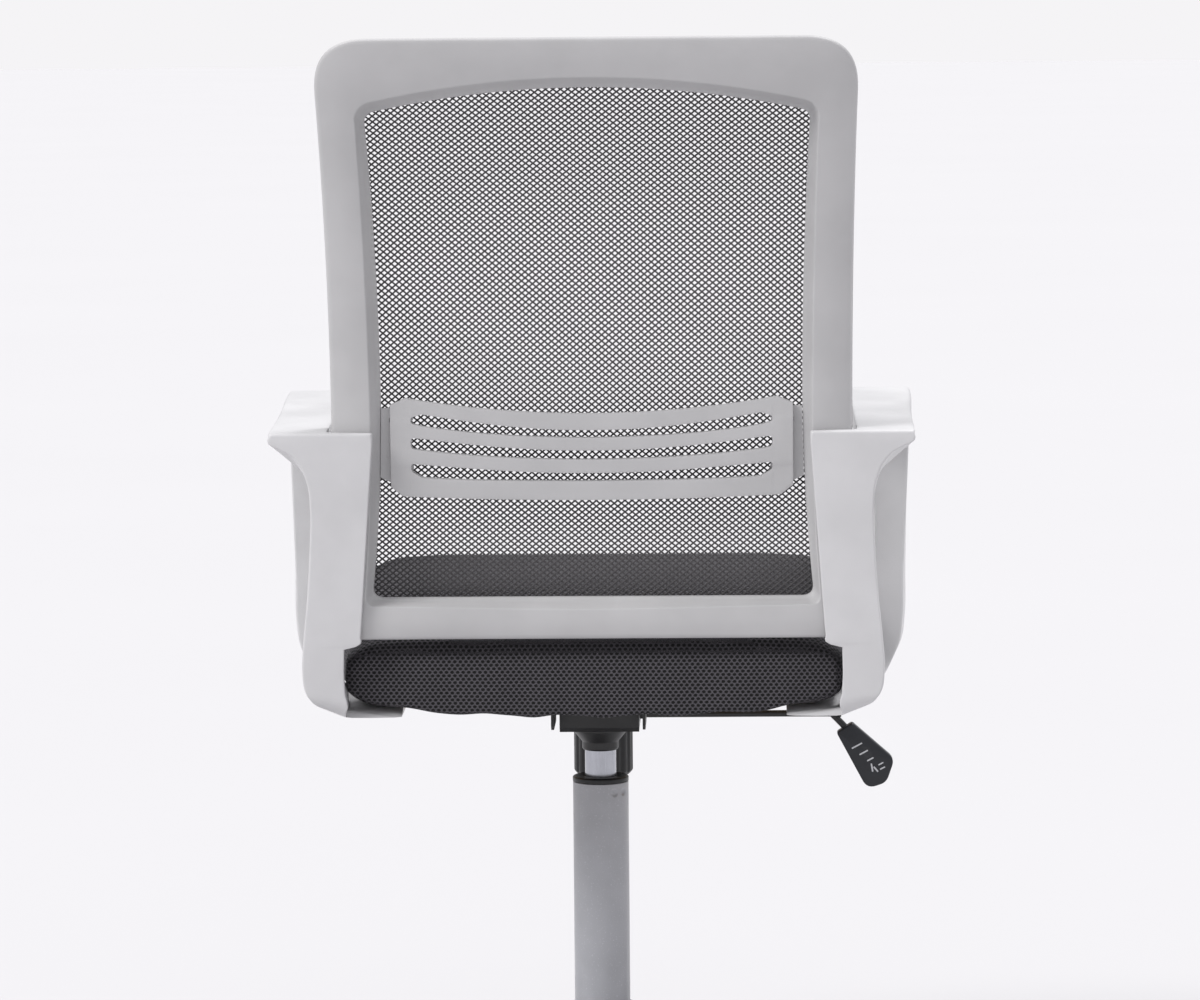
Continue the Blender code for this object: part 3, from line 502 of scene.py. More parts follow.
def coated(name, colour, rough=0.42):
    """Painted steel with orange peel and a few pale specks."""
    material, s, surface = new_material(name, Coat_Weight=0.1, Coat_Roughness=0.3)
    coat = use_group(s, COAT)
    base = s.mix(coat["Cloud"], scaled(colour, 0.9), colour)
    speckled = s.mix(s.times(coat["Speck"], 0.35), base, scaled(colour, 1.6, 0.02))
    s.set(surface.inputs["Base Color"], speckled)
    s.set(surface.inputs["Roughness"], s.ramp(coat["Cloud"], 0.0, 1.0, rough - 0.06, rough + 0.06))
    s.set(surface.inputs["Normal"], coat["Normal"])
    return material


def knit_fabric(name, colour, painted_yarn_highlight, shaded_hole, pitch=0.0048, rise=0.0030):
    """Air mesh over foam. Seen from the side the holes run round the edge, and from above along the seat. The
    yarn's twist pattern is real, and its bright colour along the twists is a painted highlight.
    """
    material, s, surface = new_material(name, Sheen_Weight=0.05, Sheen_Roughness=0.4, Specular_IOR_Level=0.25)
    x, y, z = s.split(s.object_point())
    nx, ny, nz = s.split(s.node("ShaderNodeNewGeometry").outputs["Normal"])
    top = s.ramp(s.math("ABSOLUTE", nz), 0.62, 0.70)
    side = s.ramp(s.less(s.math("ABSOLUTE", nx), s.math("ABSOLUTE", ny)), -0.02, 0.02)
    along = s.between(top, x, s.between(side, y, x))
    up = s.between(top, y, z)
    knit = use_group(s, KNIT, Along=s.over(s.plus(along, 1.0), pitch), Up=s.over(s.plus(up, 1.0), rise))
    # Base yarn colour mixed towards a painted highlight along the yarn's twists.
    cloth = s.mix(knit["Yarn twist highlight"], colour, painted_yarn_highlight)
    # The holes are painted almost black: painted shade in the knit's recesses.
    s.set(surface.inputs["Base Color"], s.mix(s.times(knit["Painted hole shade"], 0.93), cloth, shaded_hole))
    surface.inputs["Roughness"].default_value = 0.85
    s.set(surface.inputs["Normal"], knit["Normal"])
    return material


def thread_material(name, colour):
    """Dark polyester yarn with fine twists."""
    material, s, surface = new_material(name, Sheen_Weight=0.15, Sheen_Roughness=0.4)
    point = s.object_point()
    twist = s.noise(s.stretched(point, (1.0, 0.4, 1.0)), 2600.0, 2.0)
    slow = s.noise(point, 30.0, 3.0)
    base = s.mix(s.ramp(twist, 0.3, 0.7), scaled(colour, 0.75), scaled(colour, 1.2))
    faded = s.mix(s.ramp(slow, 0.3, 0.7, 0.0, 0.25), base, scaled(colour, 0.8))
    s.set(surface.inputs["Base Color"], faded)
    surface.inputs["Roughness"].default_value = 0.62
    s.set(surface.inputs["Normal"], s.bump(twist, 0.0002, 0.5))
    return material


def wood(name):
    """Birch plywood: even layers in height, and fibres along the sheet."""
    material, s, surface = new_material(name)
    point = s.object_point()
    layer = s.math("FRACT", s.over(s.split(point)[2], 0.0024))
    fibre = s.noise(s.stretched(point, (1.0, 14.0, 14.0)), 40.0, 4.0)
    base = s.mix(fibre, (0.50, 0.34, 0.19), (0.66, 0.49, 0.31))
    s.set(surface.inputs["Base Color"], s.mix(s.ramp(layer, 0.5, 0.6, 0.0, 0.5), base, (0.33, 0.20, 0.10)))
    surface.inputs["Roughness"].default_value = 0.7
    s.set(surface.inputs["Normal"], s.bump(fibre, 0.0002, 0.5))
    return material


FRAME_GREY = plastic("Grey back plastic", (0.460, 0.455, 0.463), 0.42)
ARM_GREY = plastic("Light grey arm plastic", (0.565, 0.560, 0.573), 0.36)
BLACK = plastic("Black plastic", (0.010, 0.0105, 0.012), 0.34, contrast=0.12)
NYLON = plastic("Black glass-filled nylon", (0.028, 0.028, 0.031), 0.5, 900.0, 0.00012, 0.12)
WHEEL = plastic("Wheel grey", (0.045, 0.045, 0.05), 0.55, 700.0, 0.0001, 0.15)
PADDLE = plastic("Lever black", (0.014, 0.016, 0.021), 0.33, 1800.0, 0.00005, 0.1)
MARKS = plastic("Lever marks", (0.62, 0.63, 0.66), 0.5)
NET = thread_material("Net yarn", (0.052, 0.048, 0.052))
HEM = thread_material("Net hem", (0.055, 0.052, 0.058))
# The second colour, much brighter than the yarn, is a painted highlight on the yarn's twists.
FABRIC = knit_fabric("Charcoal air mesh", (0.024, 0.0225, 0.026), (0.170, 0.161, 0.180),
                     # Hole colour, almost black: painted shade in the holes.
                     (0.001, 0.001, 0.001))
COLUMN_GREY = coated("Column grey paint", (0.400, 0.405, 0.434), 0.36)
BLACK_STEEL = coated("Black powder coat", (0.010, 0.010, 0.011), 0.42)
CHROME = metal("Chrome", (0.46, 0.47, 0.51), 0.20, 1200.0, 0.00001, dark=0.85)
ZINC = metal("Zinc-plated steel", (0.62, 0.62, 0.60), 0.34)
WOOD = wood("Plywood")

CAD_FINISH = {
    "back_net": NET, "net_rim": FRAME_GREY, "seat_board": WOOD, "seat_plate": BLACK_STEEL,
    "mechanism_housing": BLACK_STEEL, "taper_socket": BLACK_STEEL, "tilt_axle": ZINC, "piston_rod": ZINC,
    "gas_cylinder": CHROME, "release_button": BLACK, "guide_bush": NYLON, "thrust_bearing": ZINC,
    "retaining_clip": BLACK_STEEL, "tension_spring": ZINC, "tension_bolt": ZINC, "spring_cup": ZINC,
}
for node_name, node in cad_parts.items():
    finish = CAD_FINISH.get(node_name, ZINC)
    node.data.materials.clear()
    node.data.materials.append(finish)


# ---------------------------------------------------------------- back frame, rim and lumbar support
def back_y(z):
    """Middle of the back frame at a height; it leans back above and below the waist."""
    return BACK_Y - BACK_CURVE * (z - BACK_WAIST_Z) ** 2


def outer_half(z):
    """Half width of the back frame, least at 0.70 m and wider with the square of the distance from it."""
    return 0.2220 + 0.065 * (z - 0.70) ** 2


def inner_half(z):
    """Half width of the back's opening, least at 0.70 m and widening faster below it than above."""
    return 0.1800 + np.where(z > 0.70, 0.121, 0.29) * (z - 0.70) ** 2


def side_outline(low, high, half, corner_low, corner_high, arch=0.0):
    """Outline (x, z) that follows a half width up both sides and has an arched top edge."""
    reach = float(half(0.7))
    corners = [(-reach, low), (reach, low), (reach, high), (-reach, high)]
    loop = rounded_loop(corners, [corner_low, corner_low, corner_high, corner_high], [40, 70, 40, 70], 14)
    x, z = loop[:, 0] / reach, loop[:, 1]
    rise = arch * (1 - x**2) * ease(z, high - 0.04, high)
    return np.stack([x * half(z), z + rise], axis=-1)


def on_back(line, depth):
    """Points (x, z) of an outline laid on the back's curve, a depth ahead of the frame's middle."""
    return np.stack([line[:, 0], back_y(line[:, 1]) + depth, line[:, 1]], axis=-1)


def ring_frame(outer, inner, section, radii, steps=4):
    """Frame between two outlines. Each section corner is (share of the way from the outer outline to the
    inner one, metres further inwards, depth ahead of the frame's middle)."""
    across = inner - outer
    width = np.linalg.norm(across, axis=1, keepdims=True)
    across /= width
    corners = []
    for share, extra, depth in section:
        corners.append(on_back(outer + across * (share * width + extra), depth))
    return skin(rounded_rings(np.stack(corners, axis=1), radii, steps), wrap_rows=True)


outer = side_outline(0.486, 1.000, outer_half, 0.006, 0.045)
inner = side_outline(BAR_TOP, OPENING_CORNER_Z, inner_half, 0.010, 0.008, OPENING_ARCH)
section = [(0, 0, HALF_DEPTH), (0, 0, 0.0056 - HALF_DEPTH), (0.5, -0.004, 0.0006 - HALF_DEPTH),
           (1, -0.0085, 0.0002 - HALF_DEPTH), (1, -0.0035, 0.0115 - HALF_DEPTH), (1, 0, 0.0150 - HALF_DEPTH),
           (1, 0, HALF_DEPTH)]
radii = [0.002, 0.0045, 0.02, 0.0014, 0.006, 0.0012, 0.001]
stand_in("back_frame", ring_frame(outer, inner, section, radii), FRAME_GREY, "seat")

rim_outer = side_outline(0.490, 0.996, lambda z: outer_half(z) - 0.006, 0.006, 0.042)
rim_inner = side_outline(0.509, 0.951, lambda z: inner_half(z) + 0.012, 0.010, 0.010, OPENING_ARCH)
section = [(0, 0, 0.0165), (0, 0, 0.0119), (1, 0, 0.0119), (1, 0, 0.0165)]
stand_in("net_rim", ring_frame(rim_outer, rim_inner, section, [0.0012] * 4, 3), FRAME_GREY, "seat")


def smile(x, middle, rise):
    """Height of a line that rises evenly towards both ends."""
    return middle + rise * (x / 0.17) ** 2


PLATE_HALF = 0.1718
SLOT_END = 0.1545
# middle height, rise, half height in the middle and near the ends, slant of the lower and upper corner
LUMBAR_SLOTS = ((0.6245, 0.0079, 0.0036, 0.0058, 0.9, 0.0), (0.6435, 0.0135, 0.0040, 0.0052, 0.1, 0.1),
                (0.6618, 0.0173, 0.0033, 0.0053, 0.2, 0.9))


def lumbar_plate():
    """Rear skin of the lumbar support as (points, faces). Its columns run across, closer together at the
    slots' ends. Its rows follow the lower edge, each slot's two edges and the upper edge, all of which rise
    with the square of the distance from the middle. A slot's edges meet beyond its blunt end, and the faces
    between them are left out."""
    x = np.concatenate([np.linspace(-PLATE_HALF, -SLOT_END, 13)[:-1],
                        -SLOT_END + 0.010 * (1 - np.cos(np.linspace(0, pi / 2, 17)))[:-1],
                        np.linspace(-SLOT_END + 0.010, SLOT_END - 0.010, 91),
                        SLOT_END - 0.010 * (1 - np.cos(np.linspace(0, pi / 2, 17)))[::-1][1:],
                        np.linspace(SLOT_END, PLATE_HALF, 13)[1:]])
    far = np.abs(x)
    bottom = smile(x, 0.6047, 0.0045) + 0.0078 * np.clip((far - PLATE_HALF + 0.0105) / 0.0105, 0, 1)
    lines = [bottom]
    for middle, rise, at_middle, at_end, cut_low, cut_high in LUMBAR_SLOTS:
        half = at_middle + (at_end - at_middle) * ease(far, 0.02, 0.15)
        blunt = np.sqrt(np.clip(1 - np.clip((far - SLOT_END + 0.0022) / 0.0022, 0, 1) ** 2, 0, 1))
        slope_low = 1 - cut_low * np.clip((far - SLOT_END + 0.010) / 0.010, 0, 1)
        slope_high = 1 - cut_high * np.clip((far - SLOT_END + 0.010) / 0.010, 0, 1)
        centre = smile(x, middle, rise)
        shift = half * (slope_high - slope_low) / 2 * (1 - blunt)
        lines += [centre - half * slope_low * blunt + shift, centre + half * slope_high * blunt + shift]
    top = smile(x, 0.6790, 0.0160) - 0.0078 * np.clip((far - PLATE_HALF + 0.0130) / 0.0130, 0, 1)
    lines.append(top)
    rows, solid = [lines[0]], []
    for i in range(1, len(lines)):
        steps = 1 if i in (2, 4, 6) else 5
        for t in range(1, steps + 1):
            rows.append(lines[i - 1] + (lines[i] - lines[i - 1]) * t / steps)
            solid.append(steps > 1)
    z = np.array(rows)
    crown = 0.0012 * np.cos(np.linspace(-pi / 2, pi / 2, len(z)))[:, None]
    y = back_y(z) - 0.0010 - crown + 0 * z
    points = np.stack([x + 0 * z, y, z], axis=-1).reshape(-1, 3)
    cols = len(x)
    faces = grid_faces(len(z), cols, wrap_cols=False).reshape(len(z) - 1, cols - 1, 4)
    middle_x = np.abs((x[1:] + x[:-1]) / 2)
    keep = np.array(solid)[:, None] | (middle_x > SLOT_END)[None, :]
    return points, faces[keep].tolist()


def add_lumbar():
    """The lumbar skin with walls 7 mm thick and softened edges."""
    points, faces = lumbar_plate()
    mesh = bpy.data.meshes.new("lumbar_plate")
    mesh.from_pydata(points.tolist(), [], faces)
    mesh.materials.append(FRAME_GREY)
    obj = linked("lumbar_plate", mesh)
    weld = obj.modifiers.new("weld", "WELD")
    weld.merge_threshold = 0.00002
    wall = obj.modifiers.new("wall", "SOLIDIFY")
    wall.thickness = 0.0070
    wall.offset = -1.0
    wall.use_even_offset = False
    edge = obj.modifiers.new("edge", "BEVEL")
    edge.width = 0.0011
    edge.segments = 3
    edge.limit_method = "ANGLE"
    edge.angle_limit = radians(50)
    applied = bpy.data.meshes.new_from_object(obj.evaluated_get(bpy.context.evaluated_depsgraph_get()))
    obj.modifiers.clear()
    obj.data = applied
    applied.shade_smooth()
    applied.set_sharp_from_angle(angle=radians(35))
    adopted(obj, "lumbar", ["lumbar_support"])


add_lumbar()


def lumbar_tongue():
    """Guide at the lumbar support's right end, ahead of the plate: a flat bar that ends at the opening."""
    corners = []
    for share, low, high in ((0.0, 0.6170, 0.6850), (0.3, 0.6190, 0.6850), (1.0, 0.6245, 0.6846)):
        ring = []
        for z, depth in ((low, 0.0042), (high, 0.0042), (high, 0.0095), (low, 0.0095)):
            reach = float(inner_half(z)) - 0.0005
            ring.append((0.1640 + (reach - 0.1640) * share, float(back_y(z)) + depth, z))
        corners.append(ring)
    return skin(rounded_rings(np.array(corners), [0.0010] * 4, 3))


tongue = lumbar_tongue()
add_piece("lumbar_guides", together(tongue, flipped(tongue)), FRAME_GREY, "lumbar", ())


# ---------------------------------------------------------------- net
NET_LOW, NET_HIGH, NET_CORNER = 0.492, 0.994, 0.040
NET_COLUMNS = 70
NET_DEPTH = 0.0180          # the net's middle, forward of the frame's middle
NET_INSET = 0.008           # the net's edge, in from the back frame's outer edge


def net_half(z):
    """Half width of the net at a height, with round top corners."""
    above = np.clip(z - NET_HIGH + NET_CORNER, 0, None)
    inset = NET_CORNER - np.sqrt(np.clip(NET_CORNER**2 - above**2, 0, None))
    return outer_half(z) - NET_INSET - inset


def row_heights():
    """Heights of the net's half rows; the yarn is drawn taller at the waist than near both ends."""
    fine = np.linspace(NET_LOW, NET_HIGH, 2001)
    pitch = spline([(0.49, 0.00485), (0.62, 0.00500), (0.72, 0.00525), (0.80, 0.00520), (0.90, 0.00485),
                    (1.0, 0.00470)], fine)
    count = np.concatenate([[0], np.cumsum(2 / ((pitch[1:] + pitch[:-1]) / 2) * (fine[1] - fine[0]))])
    rows = int(round(count[-1]))
    return np.interp(np.linspace(0, count[-1], rows + 1), count, fine)


def net_threads(lean, lift, width=0.00155, depth=0.0008):
    """One family of slanting yarns, each a closed four-sided strand from edge to edge of the net. Every
    second crossing of a grid is used. A yarn steps one column along and one row up between two of them."""
    z = row_heights()
    rows, cols = len(z), NET_COLUMNS * 2 + 1
    share = np.linspace(-1, 1, cols)
    column, row = np.meshgrid(np.arange(cols), np.arange(rows))
    flat_half = outer_half(z) - NET_INSET
    x = share[column] * flat_half[row]
    limit = net_half(z)[row]
    inside = np.abs(x) <= limit + 1e-9
    used = (column + row) % 2 == 0
    x = np.clip(x, -limit, limit)
    height = z[row]
    ahead = (column + lean >= 0) & (column + lean < cols) & (row + 1 < rows)
    next_column = np.clip(column + lean, 0, cols - 1)
    next_row = np.clip(row + 1, 0, rows - 1)
    segment = used & ahead & inside[row, column] & inside[next_row, next_column]
    centre = np.stack([x, back_y(height) + NET_DEPTH + lift, height], axis=-1)
    slope = np.stack([np.full(rows, lean) * flat_half / NET_COLUMNS / 2, np.gradient(z)], axis=-1)
    slope /= np.linalg.norm(slope, axis=1, keepdims=True)
    across = np.stack([slope[:, 1], 0 * z, -slope[:, 0]], axis=-1)[row] * width / 2
    out = np.array([0.0, 1.0, 0.0]) * depth / 2
    ring = np.stack([centre + across, centre + out, centre - across, centre - out], axis=2)
    verts = ring.reshape(-1, 3)
    here = (row * cols + column)[segment] * 4
    there = (next_row * cols + next_column)[segment] * 4
    sides = [np.stack([here + a, here + (a + 1) % 4, there + (a + 1) % 4, there + a], axis=-1)
             for a in range(4)]
    starts = np.setdiff1d(here, there)
    ends = np.setdiff1d(there, here)
    caps = [np.stack([starts + a for a in (3, 2, 1, 0)], axis=-1),
            np.stack([ends + a for a in range(4)], axis=-1)]
    faces = np.concatenate(sides + caps)
    kept, faces = np.unique(faces, return_inverse=True)
    return verts[kept], faces.reshape(-1, 4)


def outward(verts, faces):
    """Faces turned so that the enclosed volume is positive."""
    at = verts[faces]
    volume = (at[:, 0] * np.cross(at[:, 1], at[:, 2]) + at[:, 0] * np.cross(at[:, 2], at[:, 3])).sum()
    return verts, (faces if volume > 0 else faces[:, ::-1]).tolist()


def net_hem():
    """Woven edge band that holds the net, laid over the rim's outer edge and turned down its side."""
    loop = side_outline(NET_LOW - 0.001, NET_HIGH + 0.0045, lambda z: outer_half(z) - 0.0004, 0.006, 0.045)
    middle = np.array([[0.0, 0.74]])
    inward = side_outline(NET_LOW + 0.008, NET_HIGH - 0.0075, lambda z: outer_half(z) - 0.0158, 0.006, 0.034)
    grown = loop + (loop - middle) / np.linalg.norm(loop - middle, axis=1, keepdims=True) * 0.0010
    corners = [on_back(line, depth) for line, depth in (
        (loop, 0.0120), (loop, 0.0191), (inward, 0.0191), (inward, 0.0199), (grown, 0.0199), (grown, 0.0120))]
    return skin(rounded_rings(np.stack(corners, axis=1), [0.0003] * 6, 2), wrap_rows=True)


for lean, word, stands_for in ((-1, "left", ["back_net"]), (1, "right", ())):
    yarns = outward(*net_threads(lean, -0.0002 * lean))
    yarns = add_piece(f"net_yarns_leaning_{word}", yarns, NET, "seat", stands_for)
add_piece("net_hem", net_hem(), HEM, "seat", ())


# ---------------------------------------------------------------- arms
def arm_outer_x(y, z):
    """Outer face: a wide top over a waisted rear post, and a front post that tucks in at the foot."""
    rear = spline([(0.4175, 0.2300), (0.4220, 0.2370), (0.4300, 0.2425), (0.4425, 0.2470), (0.4600, 0.2490),
                   (0.4870, 0.2475), (0.5215, 0.2440), (0.5690, 0.2408), (0.5987, 0.2400), (0.6245, 0.2430),
                   (0.6390, 0.2495), (0.6480, 0.2580), (0.6570, 0.2755), (0.6650, 0.2765)], z)
    front = spline([(0.4135, 0.2500), (0.4400, 0.2650), (0.4580, 0.2730), (0.4750, 0.2752), (0.5200, 0.2758),
                    (0.6000, 0.2780), (0.6400, 0.2795), (0.6600, 0.2805), (0.6810, 0.2805)], z)
    return rear + (front - rear) * ease(y, -0.165, 0.045)


def arm_inner_x(y, z):
    """Inner face: beside the seat below, and beside the back frame above."""
    rear = 0.2125 + 0.0133 * ease(z, 0.440, 0.460)
    front = spline([(0.4135, 0.2270), (0.4262, 0.2400), (0.4340, 0.2425), (0.4800, 0.2435), (0.6000, 0.2435),
                    (0.6550, 0.2255)], z)
    return rear + (front - rear) * ease(y, -0.165, -0.015)


def arm_loop():
    """Right arm: rings between an outer and an inner side outline, each an L with a lip behind the frame."""
    counts = [90, 60, 60, 46]
    out = rounded_loop([(-0.218, 0.4175), (-0.222, 0.665), (0.085, 0.681), (0.006, 0.4175)],
                       [0.020, 0.003, 0.024, 0.030], counts, 10)
    ins = rounded_loop([(-0.176, 0.4265), (-0.170, 0.647), (0.046, 0.660), (-0.020, 0.4265)],
                       [0.014, 0.020, 0.022, 0.022], counts, 10)
    oy, oz = out.T
    iy, iz = ins.T
    behind = 1 - ease(oy, -0.2195, -0.2135)
    foot = (1 - ease(oz, 0.4180, 0.4300)) * ease(oy, -0.2080, -0.1960) * ease(-oy, 0.008, 0.030)
    panel = np.interp(oz, [0.4175, 0.4250, 0.4400, 0.4795, 0.4803, 0.4850, 0.4885, 0.6600],
                      [0.2030, 0.2080, 0.2125, 0.2125, 0.2045, 0.1968, 0.1985, 0.1862])
    base = arm_inner_x(oy, oz)
    lip_x = base + (np.minimum(panel, base) - base) * behind * (1 - foot)
    lip_x = lip_x + (0.1655 - lip_x) * foot
    share = 0.15 + 0.83 * np.maximum(foot, 0.0)
    mid = out + (ins - out) * share[:, None]
    top = ease(oz, 0.655, 0.664)
    edges = ((lip_x, out), (arm_outer_x(oy, oz), out), (arm_outer_x(iy, iz), ins), (arm_inner_x(iy, iz), ins),
             (arm_inner_x(*mid.T), mid), (lip_x, mid))
    corners = np.stack([np.insert(side, 0, x, axis=1) for x, side in edges], axis=1)
    corners[:, 1, 2] += 0.0080 * (1 - ease(oz, 0.4180, 0.4500)) * (1 - ease(oy, -0.020, 0.010))
    soft = 0.0022 + 0.0035 * top
    return skin(rounded_rings(corners, [soft * 0.6, soft, 0.0020, 0.0030, 0.0008, 0.0008], 5), wrap_rows=True)


arm = arm_loop()
add_piece("right_arm", arm, ARM_GREY, "seat", ["arm_right"], 42)
add_piece("left_arm", flipped(arm), ARM_GREY, "seat", ["arm_left"], 42)


# ---------------------------------------------------------------- seat cushion
def inflated_cushion():
    """Cushion from a pressed cloth: a merged copy of the frame's cushion, remeshed in small squares, swells a
    little under pressure, and each point may move only a few millimetres."""
    obj = linked("cushion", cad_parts["seat_cushion"].data.copy())
    weld = obj.modifiers.new("weld", "WELD")
    weld.merge_threshold = 0.0001
    squares = obj.modifiers.new("squares", "REMESH")
    squares.mode = "VOXEL"
    squares.voxel_size = 0.0055
    depsgraph = bpy.context.evaluated_depsgraph_get()
    obj.data = bpy.data.meshes.new_from_object(obj.evaluated_get(depsgraph))
    obj.modifiers.clear()
    count = len(obj.data.vertices)
    start = np.empty(count * 3)
    obj.data.vertices.foreach_get("co", start)
    start = start.reshape(-1, 3)
    middle = np.array([0.0, 0.0335, 0.472])
    along = np.clip(np.abs(start[:, 1] - middle[1]) / 0.2365, 0, 0.9999)
    start[:, 0] *= 1.004 * ((1 - along**40) ** (1 / 40) / (1 - along**6) ** (1 / 6)).clip(1.0, 1.6)
    small = start.copy()
    small[:, 0] *= 0.991
    small[:, 1] = middle[1] + (small[:, 1] - middle[1]) * 0.991
    obj.data.vertices.foreach_set("co", small.ravel())
    held = obj.vertex_groups.new(name="board")
    low = np.where(start[:, 2] < 0.4300)[0]
    held.add(low.tolist(), 1.0, "REPLACE")
    cloth = obj.modifiers.new("cloth", "CLOTH")
    cloth.settings.quality = 5
    cloth.settings.use_pressure = True
    cloth.settings.uniform_pressure_force = 4.0
    cloth.settings.effector_weights.gravity = 0.0
    cloth.settings.vertex_group_mass = "board"
    cloth.settings.tension_stiffness = 12.0
    cloth.settings.compression_stiffness = 12.0
    cloth.collision_settings.use_collision = False
    cloth.point_cache.frame_start = 1
    cloth.point_cache.frame_end = 20
    for step in range(1, 17):
        bpy.context.scene.frame_set(step)
    result = bpy.data.meshes.new_from_object(obj.evaluated_get(bpy.context.evaluated_depsgraph_get()))
    obj.modifiers.clear()
    bpy.context.scene.frame_set(1)
    now = np.empty(count * 3)
    result.vertices.foreach_get("co", now)
    moved = now.reshape(-1, 3) - start
    far = np.linalg.norm(moved, axis=1, keepdims=True)
    moved *= np.minimum(1.0, 0.0045 / np.maximum(far, 1e-9))
    point = start + moved
    rear = ease(-point[:, 1], 0.150, 0.195)
    bottom = ease(-point[:, 2], -0.450, -0.428)
    edge = np.maximum(np.abs(point[:, 0]) - 0.17, 0)
    sag = 0.0085 * (1 - (np.clip(np.abs(point[:, 0]) / 0.205, 0, 1)) ** 2)
    ripple = 0.0016 * np.sin(point[:, 0] * 95.0 + 0.7) + 0.0009 * np.sin(point[:, 0] * 214.0)
    drop = 0.0026 * (1 - ease(np.abs(point[:, 0]), 0.150, 0.166))
    point[:, 2] -= rear * bottom * (sag + drop + ripple * (1 - ease(edge, 0.0, 0.04)))
    puckers = 0.0012 * np.sin(point[:, 0] * 150 + 2 * np.sin(point[:, 0] * 31))
    point[:, 1] += rear * puckers * ease(-point[:, 2], -0.475, -0.435)
    wide = ease(np.abs(point[:, 0]), 0.150, 0.208) * ease(point[:, 2], 0.427, 0.440)
    point[:, 0] += np.sign(point[:, 0]) * 0.0075 * wide * ease(-point[:, 1], 0.040, 0.120)
    point[:, 2] -= 0.0150 * ease(point[:, 1], 0.080, 0.262) * ease(point[:, 2], 0.450, 0.505)
    limit = source_wall(point)
    point[:, 1] = np.maximum(point[:, 1], limit)
    obj.data.vertices.foreach_set("co", point.ravel())
    smooth = obj.modifiers.new("smooth", "SMOOTH")
    smooth.factor = 0.5
    smooth.iterations = 3
    fine = obj.modifiers.new("fine", "SUBSURF")
    fine.levels = fine.render_levels = 1
    obj.data = bpy.data.meshes.new_from_object(obj.evaluated_get(bpy.context.evaluated_depsgraph_get()))
    obj.modifiers.clear()
    obj.data.materials.clear()
    obj.data.materials.append(FABRIC)
    obj.data.shade_smooth()
    adopted(obj, "seat", ["seat_cushion"])


def source_wall(point):
    """Most rearward place a cushion point may take: clear of the back frame's bar above its lower edge."""
    bar = -0.1850 + 0 * point[:, 2]
    free = np.full(len(point), -0.2075)
    return free + (bar - free) * ease(point[:, 2], 0.4790, 0.4840)


inflated_cushion()


# ---------------------------------------------------------------- gas column and tilt mechanism
def crimped(angle, line):
    """Two round crimp marks near the tube's top, at the rear right."""
    dent = 0.0
    for side in (radians(-58), radians(-35)):
        around = np.angle(np.exp(1j * (angle - side))) * 0.025
        dent = dent - 0.0016 * np.exp(-((around**2 + (line[:, 1][:, None] - 0.3220) ** 2) / 0.0029**2) ** 2)
    return np.where(line[:, 0][:, None] > 0.0245, dent, 0.0)


tube_profile = [(0.0055, 0.0750), (0.0250, 0.0750)] + [(0.0250, z) for z in np.linspace(0.312, 0.3290, 60)]
tube_profile += [(0.0250, 0.3302), (0.0232, 0.3302), (0.0232, 0.0780), (0.0055, 0.0780)]
stand_in("column_tube", lathe(tube_profile, radius=0.0004, bore=True, steps=288, wave=crimped), COLUMN_GREY,
         "base")
stand_in("column_ring", lathe([
    (0.0146, 0.3305), (0.0252, 0.3305), (0.0252, 0.3345), (0.0236, 0.3354), (0.0146, 0.3354)],
    radius=0.0008, bore=True), BLACK, "base")
stand_in("gas_cylinder", lathe([
    (0.0053, 0.1750), (0.0140, 0.1750), (0.0140, 0.3750), (0.0132, 0.3980), (0.0044, 0.3980),
    (0.0044, 0.3920), (0.0053, 0.3700)], radius=0.0002, bore=True, steps=96), CHROME, "mechanism")
stand_in("taper_socket", lathe([
    (0.0143, 0.3590), (0.0152, 0.3590), (0.0163, 0.3605), (0.0163, 0.3665), (0.0250, 0.3770),
    (0.0250, 0.3787), (0.0180, 0.3787), (0.0180, 0.3930), (0.0141, 0.3930)], bore=True), BLACK_STEEL,
    "mechanism")


def ribs(angle, line):
    """Eighteen finger grooves round the knob's wall."""
    groove = -0.0013 * (0.5 - 0.5 * np.cos(18 * angle)) ** 2
    wall = ease(line[:, 0], 0.0255, 0.0268) * ease(line[:, 1], 0.3215, 0.3245)
    return groove * wall[:, None]


BOLT = (0.0, 0.105)
stand_in("tension_knob", lathe([
    (0.0043, 0.3200), (0.0235, 0.3200), (0.0270, 0.3240), (0.0270, 0.3300), (0.0270, 0.3560),
    (0.0270, 0.3625), (0.0252, 0.3640), (0.0200, 0.3640), (0.0200, 0.3350), (0.0043, 0.3350)],
    BOLT, 0.0012, True, 216, ribs), BLACK, "knob")
stand_in("spring_cup", lathe([(0.0044, 0.3353), (0.0190, 0.3353), (0.0190, 0.3373), (0.0044, 0.3373)],
                             BOLT, 0.0003, True), ZINC, "tension_cup")
stand_in("lever_rod", tube([
    (-0.001, -0.001, 0.4063), (0.011, 0.011, 0.4063), (0.022, 0.024, 0.3935), (0.0295, 0.0297, 0.3866),
    (0.0318, LEVER_Y, LEVER_Z), (0.203, LEVER_Y, LEVER_Z), (0.2095, 0.0295, 0.3845),
    (0.2160, 0.0285, 0.3785), (0.2225, 0.0278, 0.3715)], 0.003, 16, 6), BLACK_STEEL, "lever")
stand_in("lever_collar", lathe_x([(0.0033, 0.0325), (0.0042, 0.0325), (0.0042, 0.0385), (0.0033, 0.0385)],
                                 LEVER_Y, LEVER_Z, bore=True), BLACK, "lever_slide")
paddle_outline = rounded_loop([(0.2125, 0.3695), (0.2268, 0.3785), (0.2650, 0.3450), (0.2575, 0.3235),
                               (0.2400, 0.3180)], [0.003, 0.003, 0.010, 0.012, 0.010], [3, 10, 3, 3, 10], 8)
stand_in("lever_paddle", slab(paddle_outline, 0.0215, 0.0335, 0.0016), PADDLE, "lever")


